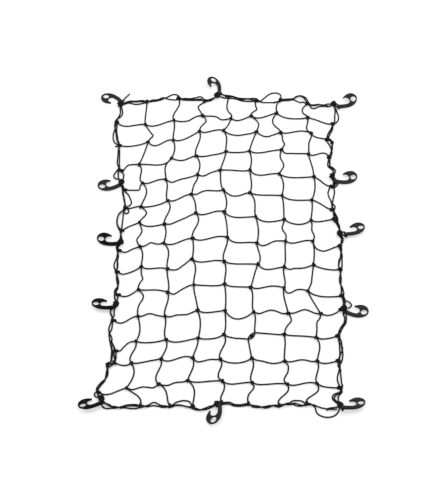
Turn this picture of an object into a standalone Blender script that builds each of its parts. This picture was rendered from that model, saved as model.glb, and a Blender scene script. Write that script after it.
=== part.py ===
"""A stretch cargo net with twelve hooks, laid out flat and a little slack on the floor.

The net is three kinds of piece: a mesh of thin elastic cords knotted at every crossing, a doubled border
cord with loose loops and stopper knots, and twelve identical moulded hooks. Tables are in millimetres, in
the net's own plan: x to the right, y away from the reader, both from the middle of an even 8 by 14 mesh.
"""

import math

import bmesh
import bpy
from mathutils import Vector

MM = 0.001

# The plan's middle, moved to the middle of the whole net's box
MIDDLE_X = 2.8
MIDDLE_Y = 16.1

# Cords: a 3.3 mm round elastic cord is drawn as a square one of the same section
CORD_WIDTH = 2.9
CORD_HALF = CORD_WIDTH / 2
CORD_REST = CORD_HALF
PIECE_GAP = 0.6

# Knots of the mesh
KNOT_REACH = 4.6
KNOT_PORT_HEIGHT = 3.5
KNOT_HEIGHT = 7.0
KNOT_CROWN = 2.6
LOOSE_KNOT = (11, 5)
LOOSE_KNOT_REACH = 7.0
HITCH_REACH = 3.6
HITCH_HEIGHT = 6.0
PORT_SWING = 40.0

# Border cord: two cords side by side, apart only where they hang in a loop
BORDER_HALF = 3.1
LEAST_OPENING = 3.6
PINCH_HALF = 2.2
STOPPER_REACH = 7.0
STOPPER_HEIGHT = 12.0
STOPPER_PORT_HEIGHT = 3.6
STOPPER_PORT_HALF = 2.5
BIGHT_HEIGHT = 3.0

# Hooks: u runs out along the shank from its cross slot, v to the side of the hook's point
HOOK_THICK = 6.0
SLOT_WIDE = 4.4
SLOT_HIGH = 4.0
EYE_CENTRE = (43.7, 13.6)
EYE_HALF = (7.7, 7.0)
EYE_TILT = 40.0
THROAT_CENTRE = (24.3, 12.3)
THROAT_REACH = 9.1
HOOK_OUTSIDE = [
    (-4.5, -2.4), (-3.2, -4.4), (12, -6.3), (20, -6.8), (28, -6.4), (36, -4.6), (43, -1.3), (49, 3.6),
    (53, 9.2), (54.5, 15), (53.6, 20.8), (50, 26.2), (44.6, 29.9), (38.2, 31.3), (31.8, 30.6), (25.8, 28.2),
    (18.4, 23.6), (17.3, 22.2), (17.6, 20.9), (19.2, 20.4),
]
SHANK_FRONT = [(11, 3.3), (-3.2, 4.8), (-4.5, 3)]

CORD_COLOUR = (0.012, 0.012, 0.013, 1.0)
HOOK_COLOUR = (0.022, 0.022, 0.023, 1.0)

# Every knot's x, y. Row 0 is the far border and row 14 the near one; each row runs from the left border
# through mesh columns 1 to 7 to the right border.
KNOTS = [
    [(-275, 471), (-206, 476), (-124, 489), (-54, 478), (9, 493), (81, 481), (145, 481), (217, 469), (289, 465)],
    [(-283, 404), (-209, 396), (-134, 410), (-60, 427), (15, 417), (68, 425), (135, 436), (216, 419), (280, 397)],
    [(-273, 323), (-200, 335), (-135, 341), (-67, 372), (-5, 375), (81, 370), (144, 367), (223, 366), (264, 343)],
    [(-265, 237), (-221, 258), (-138, 280), (-75, 287), (2, 302), (62, 304), (145, 308), (214, 294), (267, 282)],
    [(-254, 173), (-210, 196), (-152, 208), (-71, 224), (-13, 239), (63, 239), (137, 227), (226, 217), (269, 184)],
    [(-251, 115), (-213, 118), (-145, 138), (-86, 159), (-5, 173), (62, 164), (143, 155), (218, 140), (268, 108)],
    [(-257, 41), (-215, 67), (-152, 62), (-74, 98), (-3, 102), (76, 86), (147, 77), (214, 74), (272, 78)],
    [(-262, -22), (-211, -10), (-153, 2), (-81, 17), (5, 20), (78, 2), (149, 8), (216, 8), (283, -7)],
    [(-264, -89), (-206, -72), (-142, -79), (-82, -48), (-3, -56), (80, -64), (144, -73), (216, -66), (281, -80)],
    [(-259, -158), (-211, -142), (-140, -150), (-77, -127), (-2, -125), (61, -135), (142, -136), (200, -146),
     (281, -161)],
    [(-267, -234), (-210, -222), (-145, -222), (-67, -204), (-1, -205), (68, -209), (151, -213), (229, -214),
     (278, -202)],
    [(-259, -323), (-213, -295), (-141, -290), (-65, -286), (-4, -275), (64, -279), (140, -275), (216, -284),
     (267, -280)],
    [(-261, -356), (-221, -358), (-152, -346), (-77, -343), (-12, -347), (62, -344), (139, -352), (216, -352),
     (265, -352)],
    [(-295, -440), (-231, -428), (-156, -417), (-88, -407), (-8, -408), (62, -413), (144, -417), (214, -416),
     (266, -428)],
    [(-288, -458), (-197, -477), (-129, -477), (-76, -479), (-9, -468), (53, -471), (124, -476), (187, -471),
     (266, -477)],
]

# How far each slack cord bows from the straight line between its knots, at a quarter and three quarters of
# the way, or at a quarter, half and three quarters. Crosswise cords: one list for each row from 1 to 13,
# from the left border to the right one, away from the reader positive.
CROSS_BOWS = [
    [(-10, -2), (-8, -1), (-6, 3), (2, -5), (-8, -3), (-8, -2), (-9, -6), (2, -2)],
    [(-5, -4), (-13, 1), (-7, -3), (-3, 4), (-11, -5), (-12, -7), (1, 8), (-5, -1)],
    [(10, 6), (-4, -13), (-8, -3), (-5, -4), (-2, -2), (-6, 0), (-7, -1), (0, 13)],
    [(-7, -16), (-2, 4), (-12, -4), (-7, -1), (2, -1), (-11, -2), (-7, -3), (-1, -3)],
    [(-2, 2), (-4, -4), (-4, 2), (2, 0), (-11, -7), (-3, 0), (-7, -3), (3, 0)],
    [(3, 2), (-8, -4), (-7, -2), (-5, 4), (-10, -4), (-10, -6), (-9, -10), (-4, -1)],
    [(-8, -2), (5, 0), (-7, 1), (-5, 5), (-9, -1), (-7, 3), (-5, 3), (-21, -10)],
    [(-11, -7), (-3, 3), (-11, -7), (-6, 3), (-3, 0), (-11, -4), (-8, -6), (-4, -4)],
    [(-8, -4), (2, 5), (-11, -2), (-1, -3), (-3, 0), (-3, 4), (-13, 3), (-8, -5)],
    [(-10, 0), (5, 3), (-3, -5), (-5, -1), (-18, -14), (0, 2), (5, 3), (-7, -5)],
    [(-4, 5), (-4, -3), (-7, -2), (-4, -5), (-7, -9), (8, 2), (0, 2), (-4, -2)],
    [(-4, -5), (-1, 1), (-5, 6), (-9, 1), (-8, -8), (-4, -8), (-1, 2), (-5, -2)],
    [(-8, -2), (-6, -7), (-7, -1), (-3, 1), (-6, 0), (-3, 2), (-2, 5), (-3, -1)],
]

# Lengthwise cords: one list for each row of meshes from the far border to the near one, columns 1 to 7, to
# the right positive.
LENGTH_BOWS = [
    [(0, -1), (6, -4), (-14, -6), (-5, -8, -2), (2, 10, 0), (-5, -3), (-12, -14, -10)],
    [(6, 15, 11), (2, 0), (12, 2), (2, 2), (9, 13, 8), (-11, -12, -4), (-2, -8)],
    [(1, 1), (5, 4), (4, -3), (6, 2), (-1, -1), (4, 7), (2, 1)],
    [(4, -4), (-8, -9, -4), (7, 5), (1, 0), (4, 3), (-2, 6, 8), (1, 2)],
    [(11, 5), (3, -2), (3, 1), (-1, -3), (2, 4), (7, 5), (4, 4)],
    [(17, 6), (8, 0), (4, 3), (5, 6), (7, 2), (2, 1), (2, 1)],
    [(5, -1, -6), (4, 3), (9, -1), (2, 2), (4, 4), (-4, 3), (1, 6)],
    [(5, 2), (9, 2), (2, 2), (1, -4), (2, 6), (0, 2), (3, 2)],
    [(2, 7, 0), (0, 3), (7, 2), (4, 1), (-1, 0), (-1, 3), (3, 4)],
    [(13, -1), (3, -2), (-1, 1), (2, 2), (3, -1), (-3, -1), (-1, 0)],
    [(5, 6), (1, -3), (5, 4), (2, 3), (6, 5), (10, 1), (-5, -2)],
    [(2, -6), (5, 2), (2, 0), (6, -3), (-8, -2), (2, 0), (7, 3)],
    [(9, 6), (1, -8), (5, 1), (2, -8), (4, -3), (7, -6), (3, -3)],
    [(5, 10), (8, 2), (10, 5), (6, -2), (4, -4), (7, -5), (9, -3)],
]

# Hooks, clockwise from the far left corner: name, x and y of the cross slot, the way the shank points in
# degrees, whether the hook lies turned over, and the u and v of its stopper knot
HOOKS = [
    ("hook_01", -273.4, 476.0, 137.0, False, -4.0, 13.0),
    ("hook_02", -17.2, 506.6, 92.0, False, -12.5, 5.0),
    ("hook_03", 298.3, 458.9, 15.0, False, -12.5, -1.0),
    ("hook_04", 282.0, 201.5, 0.0, False, -8.0, 14.0),
    ("hook_05", 299.0, 26.7, 15.0, False, -13.0, 1.5),
    ("hook_06", 287.2, -207.3, -20.0, False, -12.0, 7.0),
    ("hook_07", 270.4, -487.3, 4.0, False, -12.5, 4.0),
    ("hook_08", -15.5, -473.8, 270.0, True, -12.5, 3.0),
    ("hook_09", -284.9, -469.6, 206.0, True, -4.0, 13.0),
    ("hook_10", -268.0, -197.0, 181.0, True, -12.5, 6.0),
    ("hook_11", -264.0, 1.0, 180.0, True, -12.5, -4.0),
    ("hook_12", -266.6, 191.0, 205.0, True, -12.5, 6.0),
]

# The border cord's way between the stopper knots, clockwise, one run for each pair of hooks: x, y, and how
# far apart its two cords lie (0 where they lie together)
BORDER = [
    # far side, left half
    [(-258, 468, 0), (-248, 475, 0), (-235, 474, 12), (-217, 477, 10), (-205, 476, 0), (-180, 483, 0),
     (-159, 490, 0), (-146, 492, 13), (-134, 494, 20), (-126, 491, 15), (-120, 487, 0), (-93, 486, 0),
     (-74, 488, 10), (-65, 489, 13), (-54, 482, 0), (-43, 481, 0), (-33, 486, 0)],
    # far side, right half
    [(-9, 499, 10), (-2, 495, 8), (10, 493, 0), (29, 490, 0), (47, 485, 9), (66, 484, 10), (77, 485, 10),
     (84, 480, 0), (100, 480, 11), (112, 485, 22), (121, 489, 31), (132, 492, 35), (144, 486, 15), (150, 484, 0),
     (166, 485, 0), (180, 487, 0), (190, 488, 19), (200, 487, 24), (210, 482, 16), (217, 469, 0), (231, 459, 11),
     (247, 464, 7), (262, 464, 0), (271, 465, 0)],
    # right side, from the far corner
    [(290, 450, 0), (291, 440, 5), (292, 425, 10), (288, 405, 5), (281, 396, 0), (275, 375, 5), (266, 350, 4),
     (267, 341, 8), (272, 332, 10), (274, 322, 6), (275, 312, 0), (274, 300, 0), (270, 288, 5), (268, 277, 0),
     (266, 266, 5), (266, 254, 5), (275, 245, 6), (279, 236, 5)],
    [(268, 201, 0), (270, 191, 0), (271, 181, 11), (268, 162, 16), (268, 150, 11), (269, 131, 0), (273, 119, 7),
     (272, 109, 0), (273, 95, 0), (275, 83, 7), (279, 67, 0), (285, 43, 0)],
    [(290, 17, 0), (285, -8, 0), (286, -28, 0), (285, -45, 4), (283, -58, 7), (282, -70, 8), (282, -80, 0),
     (280, -120, 0), (283, -137, 0), (284, -150, 6), (284, -161, 4), (287, -175, 5)],
    [(271, -210, 0), (275, -223, 0), (284, -232, 4), (284, -244, 4), (274, -262, 4), (270, -275, 0),
     (270, -283, 0), (273, -295, 5), (274, -328, 7), (272, -345, 7), (267, -366, 0), (267, -387, 6),
     (266, -400, 9), (267, -412, 8), (269, -430, 0), (270, -437, 0), (257, -448, 12), (255, -455, 14),
     (258, -463, 8)],
    # near side, from the right corner
    [(256, -486, 14), (247, -492, 23), (234, -496, 23), (220, -491, 21), (212, -482, 10), (206, -476, 0),
     (187, -472, 0), (178, -470, 12), (168, -469, 15), (157, -467, 10), (142, -471, 0), (125, -477, 0),
     (100, -479, 0), (78, -480, 0), (64, -477, 0), (54, -473, 0), (33, -475, 4), (20, -474, 4), (10, -469, 5),
     (-2, -469, 4)],
    [(-34, -470, 0), (-40, -479, 0), (-46, -484, 0), (-59, -488, 0), (-68, -486, 0), (-77, -481, 0),
     (-86, -472, 14), (-95, -469, 15), (-114, -471, 8), (-127, -478, 0), (-142, -479, 0), (-154, -475, 5),
     (-166, -471, 9), (-176, -475, 4), (-186, -478, 0), (-196, -478, 0), (-205, -478, 10), (-218, -478, 11),
     (-231, -478, 7), (-245, -481, 0), (-258, -478, 0), (-266, -462, 0)],
    # left side, from the near corner
    [(-300, -446, 9), (-298, -430, 0), (-291, -416, 0), (-283, -407, 0), (-279, -397, 0), (-277, -380, 0),
     (-276, -361, 0), (-266, -353, 8), (-264, -345, 11), (-264, -325, 10), (-266, -315, 8), (-269, -305, 6),
     (-273, -285, 6), (-276, -272, 0), (-275, -258, 7), (-273, -244, 5), (-271, -230, 0), (-266, -218, 0),
     (-259, -210, 0)],
    [(-264, -165, 8), (-265, -156, 6), (-267, -146, 0), (-262, -137, 0), (-261, -125, 0), (-265, -96, 0),
     (-266, -86, 0), (-269, -70, 8), (-268, -55, 6), (-265, -40, 0), (-266, -22, 0), (-258, -13, 0)],
    [(-252, 14, 0), (-259, 26, 0), (-260, 39, 0), (-262, 50, 8), (-264, 68, 14), (-263, 84, 14), (-261, 96, 11),
     (-253, 111, 0), (-251, 117, 0), (-245, 130, 16), (-248, 145, 16), (-251, 157, 12), (-256, 167, 6),
     (-250.5, 184, 0)],
    [(-266, 212, 14), (-271, 222, 27), (-272, 233, 16), (-271, 248, 0), (-274, 262, 5), (-274, 290, 4),
     (-274, 303, 0), (-273, 323, 0), (-279, 333, 9), (-285, 352, 12), (-286, 365, 9), (-284, 395, 0),
     (-284, 410, 0), (-275, 427, 5), (-272, 437, 6), (-273, 448, 5)],
]


def remove_everything():
    for item in list(bpy.data.objects):
        bpy.data.objects.remove(item, do_unlink=True)


def make_material(name, colour, roughness):
    material = bpy.data.materials.new(name)
    material.use_nodes = True
    shader = material.node_tree.nodes["Principled BSDF"]
    shader.inputs["Base Color"].default_value = colour
    shader.inputs["Roughness"].default_value = roughness
    shader.inputs["Metallic"].default_value = 0.0
    return material


def add_object(name, mesh, material):
    mesh.materials.clear()
    mesh.materials.append(material)
    item = bpy.data.objects.new(name, mesh)
    bpy.context.scene.collection.objects.link(item)
    return item


def mesh_from(bm, name):
    bmesh.ops.recalc_face_normals(bm, faces=bm.faces)
    mesh = bpy.data.meshes.new(name)
    bm.to_mesh(mesh)
    bm.free()
    return mesh


# ---------------------------------------------------------------- cords and knots


class Ring:
    """A cord's cross-section: its low corners and its high ones, each from the right side to the left."""

    def __init__(self, low, high):
        self.low = low
        self.high = high

    def turned(self):
        return Ring(self.low[::-1], self.high[::-1])

    def part(self, first, last):
        return Ring(self.low[first:last], self.high[first:last])


def add_vertex(bm, x, y, z):
    return bm.verts.new(((x - MIDDLE_X) * MM, (y - MIDDLE_Y) * MM, z * MM))


def add_face(bm, corners):
    kept = []
    for corner in corners:
        if corner not in kept:
            kept.append(corner)
    if len(kept) > 2:
        bm.faces.new(kept)


def add_ring(bm, x, y, z, angle, half_width, half_height, columns):
    """A ring across the direction given in radians, with two or more columns of corners."""
    low = []
    high = []
    for column in range(columns):
        side = half_width * (2 * column / (columns - 1) - 1) if columns > 1 else 0.0
        corner_x = x - side * math.sin(angle)
        corner_y = y + side * math.cos(angle)
        low.append(add_vertex(bm, corner_x, corner_y, z - half_height))
        high.append(add_vertex(bm, corner_x, corner_y, z + half_height))
    return Ring(low, high)


def join_rings(bm, near, far):
    """The four sides of a cord between two rings with as many columns."""
    for column in range(len(near.low) - 1):
        add_face(bm, [near.low[column], near.low[column + 1], far.low[column + 1], far.low[column]])
        add_face(bm, [near.high[column], far.high[column], far.high[column + 1], near.high[column + 1]])
    add_face(bm, [near.low[0], far.low[0], far.high[0], near.high[0]])
    add_face(bm, [near.low[-1], near.high[-1], far.high[-1], far.low[-1]])


def join_all(bm, rings):
    for near, far in zip(rings, rings[1:]):
        join_rings(bm, near, far)


def direction(first, last):
    return math.atan2(last[1] - first[1], last[0] - first[0])


def spread_ports(ports, room):
    """Turn a knot's ports apart until neighbours have room. Each port is [angle, half its own angle]."""
    order = sorted(range(len(ports)), key=lambda index: ports[index][0])
    for _ in range(200):
        for place, index in enumerate(order):
            after = order[(place + 1) % len(order)]
            turn = 2 * math.pi if place == len(order) - 1 else 0.0
            gap = ports[after][0] + turn - ports[index][0]
            lack = ports[index][1] + ports[after][1] + room - gap
            if lack > 0:
                ports[index][0] -= lack / 2
                ports[after][0] += lack / 2
    return order


def close_knot(bm, x, y, ring_angles, rings, crown_reach, crown_height, base_reach, tip_height):
    """Close a knot's skin round its ports, given in turn anticlockwise: walls, crown and underside."""
    count = len(rings)
    crown = []
    base = []
    for place in range(count):
        start = ring_angles[place]
        end = ring_angles[(place + 1) % count]
        middle = start + ((end - start) % (2 * math.pi)) / 2
        reach_x = math.cos(middle)
        reach_y = math.sin(middle)
        crown.append(add_vertex(bm, x + crown_reach * reach_x, y + crown_reach * reach_y, crown_height))
        if base_reach:
            base.append(add_vertex(bm, x + base_reach * reach_x, y + base_reach * reach_y, 0.0))
    foot = None if base_reach else add_vertex(bm, x, y, 0.0)
    for place in range(count):
        here = rings[place]
        after = rings[(place + 1) % count]
        add_face(bm, [here.low[-1], after.low[0], after.high[0], here.high[-1]])
        add_face(bm, [here.high[-1], after.high[0], crown[place]])
        add_face(bm, here.high + [crown[place], crown[place - 1]])
        if base_reach:
            add_face(bm, [after.low[0], here.low[-1], base[place]])
            add_face(bm, here.low[::-1] + [base[place - 1], base[place]])
        else:
            add_face(bm, [after.low[0], here.low[-1], foot])
            for first, second in zip(here.low, here.low[1:]):
                add_face(bm, [second, first, foot])
    if base_reach:
        add_face(bm, base[::-1])
    if tip_height:
        tip = add_vertex(bm, x, y, tip_height)
        for place in range(count):
            add_face(bm, [crown[place - 1], crown[place], tip])
    else:
        add_face(bm, crown)


# ---------------------------------------------------------------- the border's way


def hook_point(hook, u, v):
    """A place beside a hook, from its slot: u out along the shank, v to the side of the point."""
    _, x, y, degrees, turned, _, _ = hook
    angle = math.radians(degrees)
    side = -v if turned else v
    return (
        x + u * math.cos(angle) - side * math.sin(angle),
        y + u * math.sin(angle) + side * math.cos(angle),
    )


def bight_path(hook):
    """The small loop from a stopper knot through its hook's slot and back, as plan points."""
    stopper_u, stopper_v = hook[5:7]
    beside = stopper_v > 9.0
    path = [(-4.5, 9.2), (-1.2, 8.6), (0.0, 5.3), (0.0, -5.3), (-1.2, -8.6), (-4.5, -9.2)]
    if beside:
        path = [(0.0, 5.3), (0.0, -5.3), (-1.4, -7.9), (-5.4, -7.2), (-7.2, -3.0), (-7.0, 3.5)]
    return [hook_point(hook, u, v) for u, v in path]


def stopper_place(hook):
    return hook_point(hook, hook[5], hook[6])


def clear_of_hook(hook, station):
    """Whether a border station is far enough from the hook's stopper knot and bight."""
    x, y, opening = station
    half = BORDER_HALF + opening / 2
    if math.dist((x, y), stopper_place(hook)) < STOPPER_REACH + max(4.0, half):
        return False
    return all(math.dist((x, y), point) > half + 2.4 for point in bight_path(hook))


def settle(run):
    """Lengthen each pinch between two open loops, so that the two cords lie together for a little way."""
    settled = []
    for place, (x, y, opening) in enumerate(run):
        inside = 0 < place < len(run) - 1
        if inside and not opening and run[place - 1][2] and run[place + 1][2]:
            angle = direction(run[place - 1], run[place + 1])
            for way in (-PINCH_HALF, PINCH_HALF):
                settled.append((x + way * math.cos(angle), y + way * math.sin(angle), 0))
        else:
            settled.append((x, y, opening))
    return settled


def border_runs():
    runs = []
    for place, run in enumerate(BORDER):
        ends = (HOOKS[place], HOOKS[(place + 1) % len(HOOKS)])
        kept = [station for station in run if all(clear_of_hook(hook, station) for hook in ends)]
        runs.append(settle(kept))
    return runs


def border_track(runs):
    """The whole border as a closed chain of x, y and half width, for keeping other cords clear of it."""
    track = []
    for hook, run in zip(HOOKS, runs):
        track.append((*stopper_place(hook), STOPPER_REACH + 0.5))
        for x, y, opening in run:
            track.append((x, y, max(BORDER_HALF, opening / 2 + CORD_HALF + 0.3)))
    return track


def room_at(track, x, y):
    """How far a place is from the border's edge and from the bights."""
    room = 1000.0
    for hook in HOOKS:
        for point in bight_path(hook):
            room = min(room, math.dist((x, y), point) - CORD_HALF - PIECE_GAP)
    for (ax, ay, a_half), (bx, by, b_half) in zip(track, track[1:] + track[:1]):
        length = math.dist((ax, ay), (bx, by))
        along = ((x - ax) * (bx - ax) + (y - ay) * (by - ay)) / length**2
        along = min(1.0, max(0.0, along))
        nearest = (ax + along * (bx - ax), ay + along * (by - ay))
        room = min(room, math.dist((x, y), nearest) - a_half - along * (b_half - a_half))
    return room


# ---------------------------------------------------------------- the mesh


def bow_at(bow, t):
    """A slack cord's distance from the straight line, t of the way along it."""
    marks = (0.25, 0.75) if len(bow) == 2 else (0.25, 0.5, 0.75)
    total = 0.0
    for mark, offset in zip(marks, bow):
        weight = offset / (mark * (1 - mark))
        for other in marks:
            if other != mark:
                weight *= (t - other) / (mark - other)
        total += weight
    return total * t * (1 - t)


def cord_point(first, last, bow, t):
    dx = last[0] - first[0]
    dy = last[1] - first[1]
    length = math.hypot(dx, dy)
    offset = bow_at(bow, t)
    return (first[0] + t * dx - offset * dy / length, first[1] + t * dy + offset * dx / length)


def mesh_cords():
    """Every cord between two knots: its first knot, its last knot and its bow."""
    cords = []
    for row, bows in enumerate(CROSS_BOWS, start=1):
        for column, bow in enumerate(bows):
            cords.append(((row, column), (row, column + 1), bow))
    for row, bows in enumerate(LENGTH_BOWS):
        for column, bow in enumerate(bows, start=1):
            cords.append(((row, column), (row + 1, column), bow))
    return cords


def on_border(knot):
    return knot[0] in (0, 14) or knot[1] in (0, 8)


def knot_place(knot):
    return KNOTS[knot[0]][knot[1]]


def trim_to_border(track, first, last, bow, from_first):
    """How far along its line a cord that ends on the border has its hitch, just clear of the border."""
    step = 0.005
    best = 0.5
    while 0.0 < best < 1.0:
        ahead = best - step if from_first else best + step
        if room_at(track, *cord_point(first, last, bow, ahead)) < HITCH_REACH + PIECE_GAP:
            break
        best = ahead
    return best


def build_mesh(track):
    bm = bmesh.new()
    cords = mesh_cords()
    ends = {}
    spans = []
    for first_knot, last_knot, bow in cords:
        first = knot_place(first_knot)
        last = knot_place(last_knot)
        start = trim_to_border(track, first, last, bow, True) if on_border(first_knot) else 0.0
        stop = trim_to_border(track, first, last, bow, False) if on_border(last_knot) else 1.0
        spans.append((start, stop))
        for knot, t, onward in ((first_knot, start, 1), (last_knot, stop, -1)):
            key = (first_knot, last_knot) if on_border(knot) else knot
            ends.setdefault(key, []).append(((first_knot, last_knot), t, onward, bow))

    ports = {}
    for key, leaving in ends.items():
        if len(leaving) == 1:
            add_hitch(bm, leaving[0], ports)
        else:
            add_crossing_knot(bm, key, leaving, ports)

    for (first_knot, last_knot, bow), (start, stop) in zip(cords, spans):
        first = knot_place(first_knot)
        last = knot_place(last_knot)
        rings = [ports[(first_knot, last_knot, 1)]]
        for share in (0.25, 0.5, 0.75):
            t = start + share * (stop - start)
            x, y = cord_point(first, last, bow, t)
            x1, y1 = cord_point(first, last, bow, t - 0.1)
            x2, y2 = cord_point(first, last, bow, t + 0.1)
            lift = 0.0 if share == 0.5 else 0.5
            angle = math.atan2(y2 - y1, x2 - x1)
            rings.append(add_ring(bm, x, y, CORD_REST + lift, angle, CORD_HALF, CORD_HALF, 2))
        rings.append(ports[(first_knot, last_knot, -1)].turned())
        join_all(bm, rings)
    return mesh_from(bm, "net_mesh")


def leaving_angle(end):
    (first_knot, last_knot), t, onward, bow = end
    first = knot_place(first_knot)
    last = knot_place(last_knot)
    x, y = cord_point(first, last, bow, t)
    next_x, next_y = cord_point(first, last, bow, t + 0.14 * onward)
    return math.atan2(next_y - y, next_x - x)


def port_angle(end):
    """A cord's way out of a crossing knot: its own direction, but never far from the mesh's square."""
    (first_knot, last_knot), _, onward, _ = end
    along = direction((0, 0), (last_knot[1] - first_knot[1], first_knot[0] - last_knot[0]))
    square = along if onward > 0 else along + math.pi
    swing = math.radians(PORT_SWING)
    turn = (leaving_angle(end) - square + math.pi) % (2 * math.pi) - math.pi
    return square + max(-swing, min(swing, turn))


def add_crossing_knot(bm, knot, leaving, ports):
    """A mesh knot: a low lump with a cord leaving on each of its four sides."""
    x, y = knot_place(knot)
    reach = LOOSE_KNOT_REACH if knot == LOOSE_KNOT else KNOT_REACH
    height = KNOT_HEIGHT * (1.2 if knot == LOOSE_KNOT else 1.0)
    half_angle = math.asin(CORD_HALF / reach)
    found = [[port_angle(end), half_angle, end] for end in leaving]
    order = spread_ports(found, math.radians(6.0))
    rings = []
    angles = []
    for angle, _, end in (found[index] for index in order):
        port_x = x + reach * math.cos(angle)
        port_y = y + reach * math.sin(angle)
        ring = add_ring(bm, port_x, port_y, KNOT_PORT_HEIGHT, angle, CORD_HALF, CORD_HALF, 2)
        ports[(*end[0], end[2])] = ring
        rings.append(ring)
        angles.append(angle % (2 * math.pi))
    crown_reach = KNOT_CROWN * reach / KNOT_REACH
    close_knot(bm, x, y, angles, rings, crown_reach, height, 0.0, 0.0)


def add_hitch(bm, end, ports):
    """The small lump at a cord's end, against the border."""
    (first_knot, last_knot), t, onward, bow = end
    x, y = cord_point(knot_place(first_knot), knot_place(last_knot), bow, t)
    angle = leaving_angle(end)
    rings = []
    angles = []
    for turn, columns in ((0.0, 2), (70.0, 1), (180.0, 1), (290.0, 1)):
        out = angle + math.radians(turn)
        ring_x = x + HITCH_REACH * math.cos(out)
        ring_y = y + HITCH_REACH * math.sin(out)
        ring = add_ring(bm, ring_x, ring_y, KNOT_PORT_HEIGHT - 0.4, out, CORD_HALF, CORD_HALF, columns)
        rings.append(ring)
        angles.append(out)
    ports[(first_knot, last_knot, onward)] = rings[0]
    close_knot(bm, x, y, angles, rings, 1.9, HITCH_HEIGHT, 0.0, 0.0)


# ---------------------------------------------------------------- the border cord


def add_stopper(bm, hook, before, after):
    """A stopper knot with four ports: the border coming in and going out, and the bight's two ends."""
    x, y = stopper_place(hook)
    path = bight_path(hook)
    border_half = math.asin(STOPPER_PORT_HALF / STOPPER_REACH)
    bight_half = math.asin(CORD_HALF / STOPPER_REACH)
    ports = [
        [direction((x, y), before), border_half, 3],
        [direction((x, y), after), border_half, 3],
        [direction((x, y), path[0]), bight_half, 2],
        [direction((x, y), path[-1]), bight_half, 2],
    ]
    order = spread_ports(ports, math.radians(14.0))
    rings = [None] * len(ports)
    for index, (angle, _, columns) in enumerate(ports):
        reach = STOPPER_REACH
        half = STOPPER_PORT_HALF if columns == 3 else CORD_HALF
        height = STOPPER_PORT_HEIGHT if columns == 3 else BIGHT_HEIGHT
        port_x = x + reach * math.cos(angle)
        port_y = y + reach * math.sin(angle)
        rings[index] = add_ring(bm, port_x, port_y, height, angle, half, CORD_HALF, columns)
    skin = []
    for place, index in enumerate(order):
        angle = ports[index][0]
        following = ports[order[(place + 1) % len(order)]][0]
        skin.append((angle, rings[index]))
        gap = (following - angle) % (2 * math.pi)
        fills = int(gap / math.radians(75.0))
        for fill in range(fills):
            turn = angle + gap * (fill + 1) / (fills + 1)
            fill_x = x + STOPPER_REACH * math.cos(turn)
            fill_y = y + STOPPER_REACH * math.sin(turn)
            skin.append((turn, add_ring(bm, fill_x, fill_y, STOPPER_PORT_HEIGHT, turn, 0.0, CORD_HALF, 1)))
    angles = [angle for angle, _ in skin]
    lumps = [ring for _, ring in skin]
    close_knot(bm, x, y, angles, lumps, 4.8, STOPPER_HEIGHT - 1.6, 4.4, STOPPER_HEIGHT)
    return rings


def add_bight(bm, hook, start, stop):
    path = bight_path(hook)
    centre = stopper_place(hook)
    rings = [start]
    for place, point in enumerate(path):
        before = path[place - 1] if place else centre
        after = path[place + 1] if place + 1 < len(path) else centre
        arriving = direction(before, point)
        turn = (direction(point, after) - arriving + math.pi) % (2 * math.pi) - math.pi
        angle = arriving + turn / 2
        half = CORD_HALF / max(0.75, math.cos(turn / 2))
        rings.append(add_ring(bm, *point, BIGHT_HEIGHT, angle, half, CORD_HALF, 2))
    rings.append(stop.turned())
    join_all(bm, rings)


def strand_side(stations, place, side):
    """One of the two cords' middle at a station, on the left (1) or the right (-1) of the way along."""
    x, y, opening = stations[place]
    before = stations[max(place - 1, 0)]
    after = stations[min(place + 1, len(stations) - 1)]
    angle = direction(before, after)
    reach = side * (max(opening, LEAST_OPENING) / 2 if opening else CORD_HALF)
    return (x - reach * math.sin(angle), y + reach * math.cos(angle))


def add_run(bm, start, stop, start_place, stop_place, run):
    """The border cord from one stopper knot to the next."""
    stations = [(*start_place, 0), *run, (*stop_place, 0)]
    previous = [start]
    for place in range(1, len(stations)):
        x, y, opening = stations[place]
        last = place == len(stations) - 1
        if last:
            rings = [stop.turned()]
        elif opening:
            rings = []
            for side in (-1, 1):
                here = strand_side(stations, place, side)
                before = strand_side(stations, place - 1, side)
                after = strand_side(stations, place + 1, side)
                angle = direction(before, after)
                rings.append(add_ring(bm, *here, CORD_REST, angle, CORD_HALF, CORD_HALF, 2))
        else:
            angle = direction(stations[place - 1], stations[place + 1])
            rings = [add_ring(bm, x, y, CORD_REST, angle, BORDER_HALF, CORD_HALF, 3)]
        if len(previous) == 1 and len(rings) == 2:
            join_rings(bm, previous[0].part(0, 2), rings[0])
            join_rings(bm, previous[0].part(1, 3), rings[1])
        elif len(previous) == 2 and len(rings) == 1:
            join_rings(bm, previous[0], rings[0].part(0, 2))
            join_rings(bm, previous[1], rings[0].part(1, 3))
        else:
            for near, far in zip(previous, rings):
                join_rings(bm, near, far)
        previous = rings


def build_border(runs):
    bm = bmesh.new()
    count = len(HOOKS)
    places = [stopper_place(hook) for hook in HOOKS]
    stoppers = []
    for index, hook in enumerate(HOOKS):
        before = runs[index - 1][-1][:2]
        after = runs[index][0][:2]
        stoppers.append(add_stopper(bm, hook, before, after))
    for index, hook in enumerate(HOOKS):
        following = (index + 1) % count
        add_run(bm, stoppers[index][1], stoppers[following][0], places[index], places[following], runs[index])
        add_bight(bm, hook, stoppers[index][2], stoppers[index][3])
    return mesh_from(bm, "border_cord")


# ---------------------------------------------------------------- the hooks


def arc(centre, reach, first, last, count):
    points = []
    for index in range(count):
        angle = math.radians(first + (last - first) * index / (count - 1))
        points.append((centre[0] + reach * math.cos(angle), centre[1] + reach * math.sin(angle)))
    return points


def hook_outline():
    """The hook's plan, anticlockwise from the shank's slot end."""
    return HOOK_OUTSIDE + arc(THROAT_CENTRE, THROAT_REACH, 90.0, -90.0, 9) + SHANK_FRONT


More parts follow.
